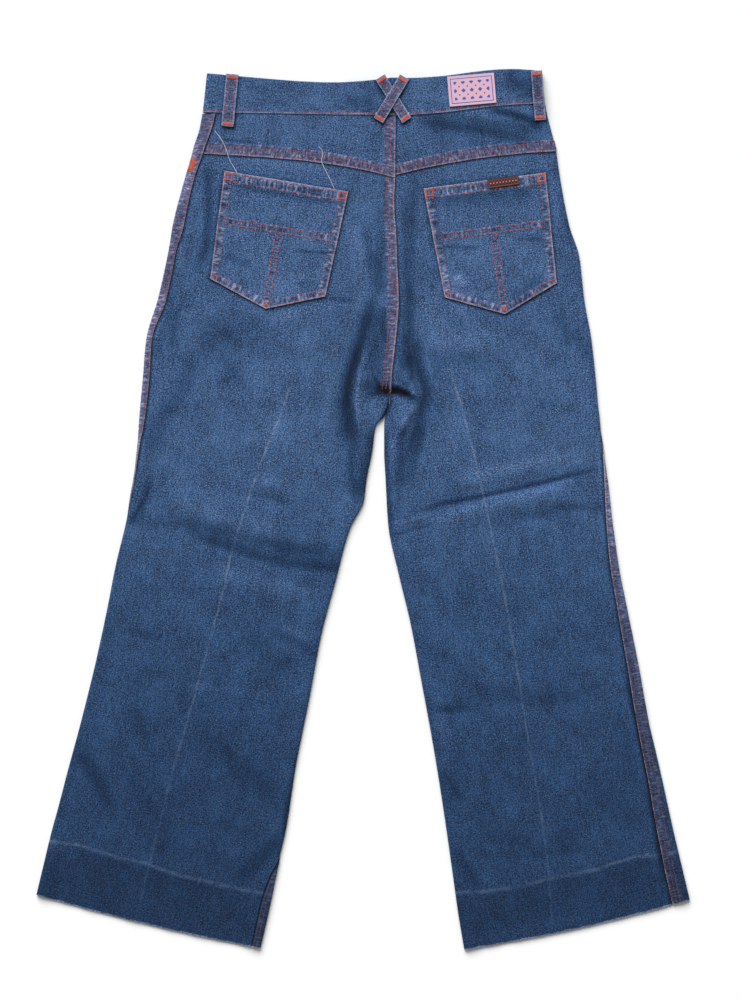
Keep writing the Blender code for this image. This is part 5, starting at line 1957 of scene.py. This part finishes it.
def sewPocket(half):
    corners = pockets["corners"][half["side"]]
    gap = pockets["rowGap"]

    def height(x, y):
        return backHeight(half, x, y) + cut["seamGap"] + pocketWall(corners, x, y)

    paths = []
    for inside in (pockets["edgeRow"], pockets["innerRow"]):
        moved = insetPath(corners, inside)
        paths.append((*moved[1:], moved[0]))
    paths += [insetPath(corners, inside)[:2] for inside in pockets["hemRows"]]
    leftMid, rightMid, middle, tip, across, down = pocketLines(corners)
    inset = across * pockets["crossInset"]
    paths += [(leftMid + inset + down * shift, rightMid - inset + down * shift) for shift in (0, gap)]
    stem = unit(tip - middle)
    beside = np.array((-stem[1], stem[0]))
    top, base = middle + down * pockets["stemTop"], tip - stem * pockets["stemBase"]
    paths += [(top + beside * shift, base + beside * shift) for shift in (-gap / 2, gap / 2)]
    sew(f"pocket_stitches_{half['side']}", [planRow(height, path) for path in paths], "threadPocket")
    return pocketTacks(corners, height)


tacks = []
for eachHalf in halves.values():
    tacks += sewPocket(eachHalf)


def sewLoop(node):
    width = loops[node][2]
    _, along, _, length = loopFrame(node)
    wall = loopForm["cloth"] - loopForm["rowSink"]
    middle = width / 2 - loopForm["stitchIn"]

    def place(u, v):
        return loopPlace(node, u / (width / 2), v / length)

    down = np.linspace(loopForm["rowEnd"], 1 - loopForm["rowEnd"], loopForm["rowSteps"]) * length
    rows = []
    for side in (-middle, middle):
        rows.append(stitchesAlong(*onFace(place, np.full_like(down, side), down, wall, -1)))
    half, outer = width / 2 * loopForm["tackShare"], loopForm["cloth"] + loopForm["tackLift"]
    across = np.linspace(-half, half, loopForm["tackSteps"])
    ends = []
    for end in (loopForm["tackTop"], length - loopForm["tackBase"]):
        spots, normals = onFace(place, across, np.full_like(across, end), outer, -1)
        tangent = flattened(np.array((*along / length, 0.0)), normals)
        ends.append(threadsAt(spots, tangent, normals, loopForm["tackLength"], bar["width"], bar["height"]))
    return rows, ends


loopRows, loopTacks = [], []
for loopName in loops:
    newRows, newTacks = sewLoop(loopName)
    loopRows += newRows
    loopTacks += newTacks
sew("loop_stitches", loopRows, "threadSeam")


def bandRow(half):
    drop = half["at"]["band"] - waistband["stitchIn"]
    row = rowAt(half, drop, cut["bandCloth"], cut["bandFoldRadius"])
    centre = row["length"] - row["quarter"]
    reach = np.linspace(3 * cut["overlap"] - centre, centre - seams["bandEnd"], seams["bandSteps"])
    wall = cut["bandCloth"] - waistband["dent"]
    drops = np.full_like(reach, drop)
    face = onFace(lambda u, v: lie(half, u, v, **bandLie), reach, drops, wall, half["sign"])
    return stitchesAlong(*face)


sew("waistband_stitches", [bandRow(half) for half in halves.values()], "threadSeam")


# a bar tack over the left outseam where the front pocket ends
def outseamTack():
    half = halves["left"]
    drops = np.linspace(outseamBar["from"], outseamBar["to"], outseamBar["threads"])
    reach = rowAt(half, drops)["outseam"] - outseamBar["inset"]
    wall = cut["cloth"] + cut["fellRaise"]
    spots, normals = onFace(lambda u, v: lie(half, u, v), reach, drops, wall, half["sign"])
    across = np.cross(normals, unit(np.gradient(spots, axis=0)))
    return threadsAt(spots, across, normals, outseamBar["length"], bar["width"], bar["height"])


sew("bar_tacks", [*tacks, *loopTacks, outseamTack()], "threadTack")

looseThreads = {  # thickness, finish, height over the cloth, path
    "loose_thread_left": (
        0.75, "threadPale", 0.7,
        ((-167, 426), (-160, 417), (-154, 405), (-150, 393), (-146, 386), (-142, 379)),
    ),
    "loose_thread_middle": (
        0.7, "threadPale", 0.7,
        ((-49, 408), (-45, 402), (-46, 392), (-41, 380), (-36, 370), (-32, 361)),
    ),
    "loose_thread_right": (
        0.6, "threadBlue", 0.9,
        ((84, 366), (87, 370), (93, 371.5), (98, 369), (103, 364)),
    ),
}


def makeLooseThread(name, thick, finish, lift, path):
    curve = bpy.data.curves.new(name, "CURVE")
    curve.dimensions = "3D"
    curve.bevel_depth = thick / 2 * toMetres
    curve.bevel_resolution = 1
    curve.use_fill_caps = True
    spline = curve.splines.new("BEZIER")
    spline.resolution_u = 6
    spline.bezier_points.add(len(path) - 1)
    x, y = np.array(path, float).T
    for point, place in zip(spline.bezier_points, zip(x, y, surfaceHeight(x, y) + lift)):
        point.co = Vector(place) * toMetres
        point.handle_left_type = point.handle_right_type = "AUTO"
    held = addObject(name + "_path", curve)
    mesh = bpy.data.meshes.new_from_object(held.evaluated_get(bpy.context.evaluated_depsgraph_get()))
    bpy.data.objects.remove(held)
    mesh.name = name
    mesh.shade_smooth()
    mesh.materials.clear()
    mesh.materials.append(finishes[finish])
    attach(addObject(name, mesh), "root")


for threadName, form in looseThreads.items():
    makeLooseThread(threadName, *form)
print("stitches ready")
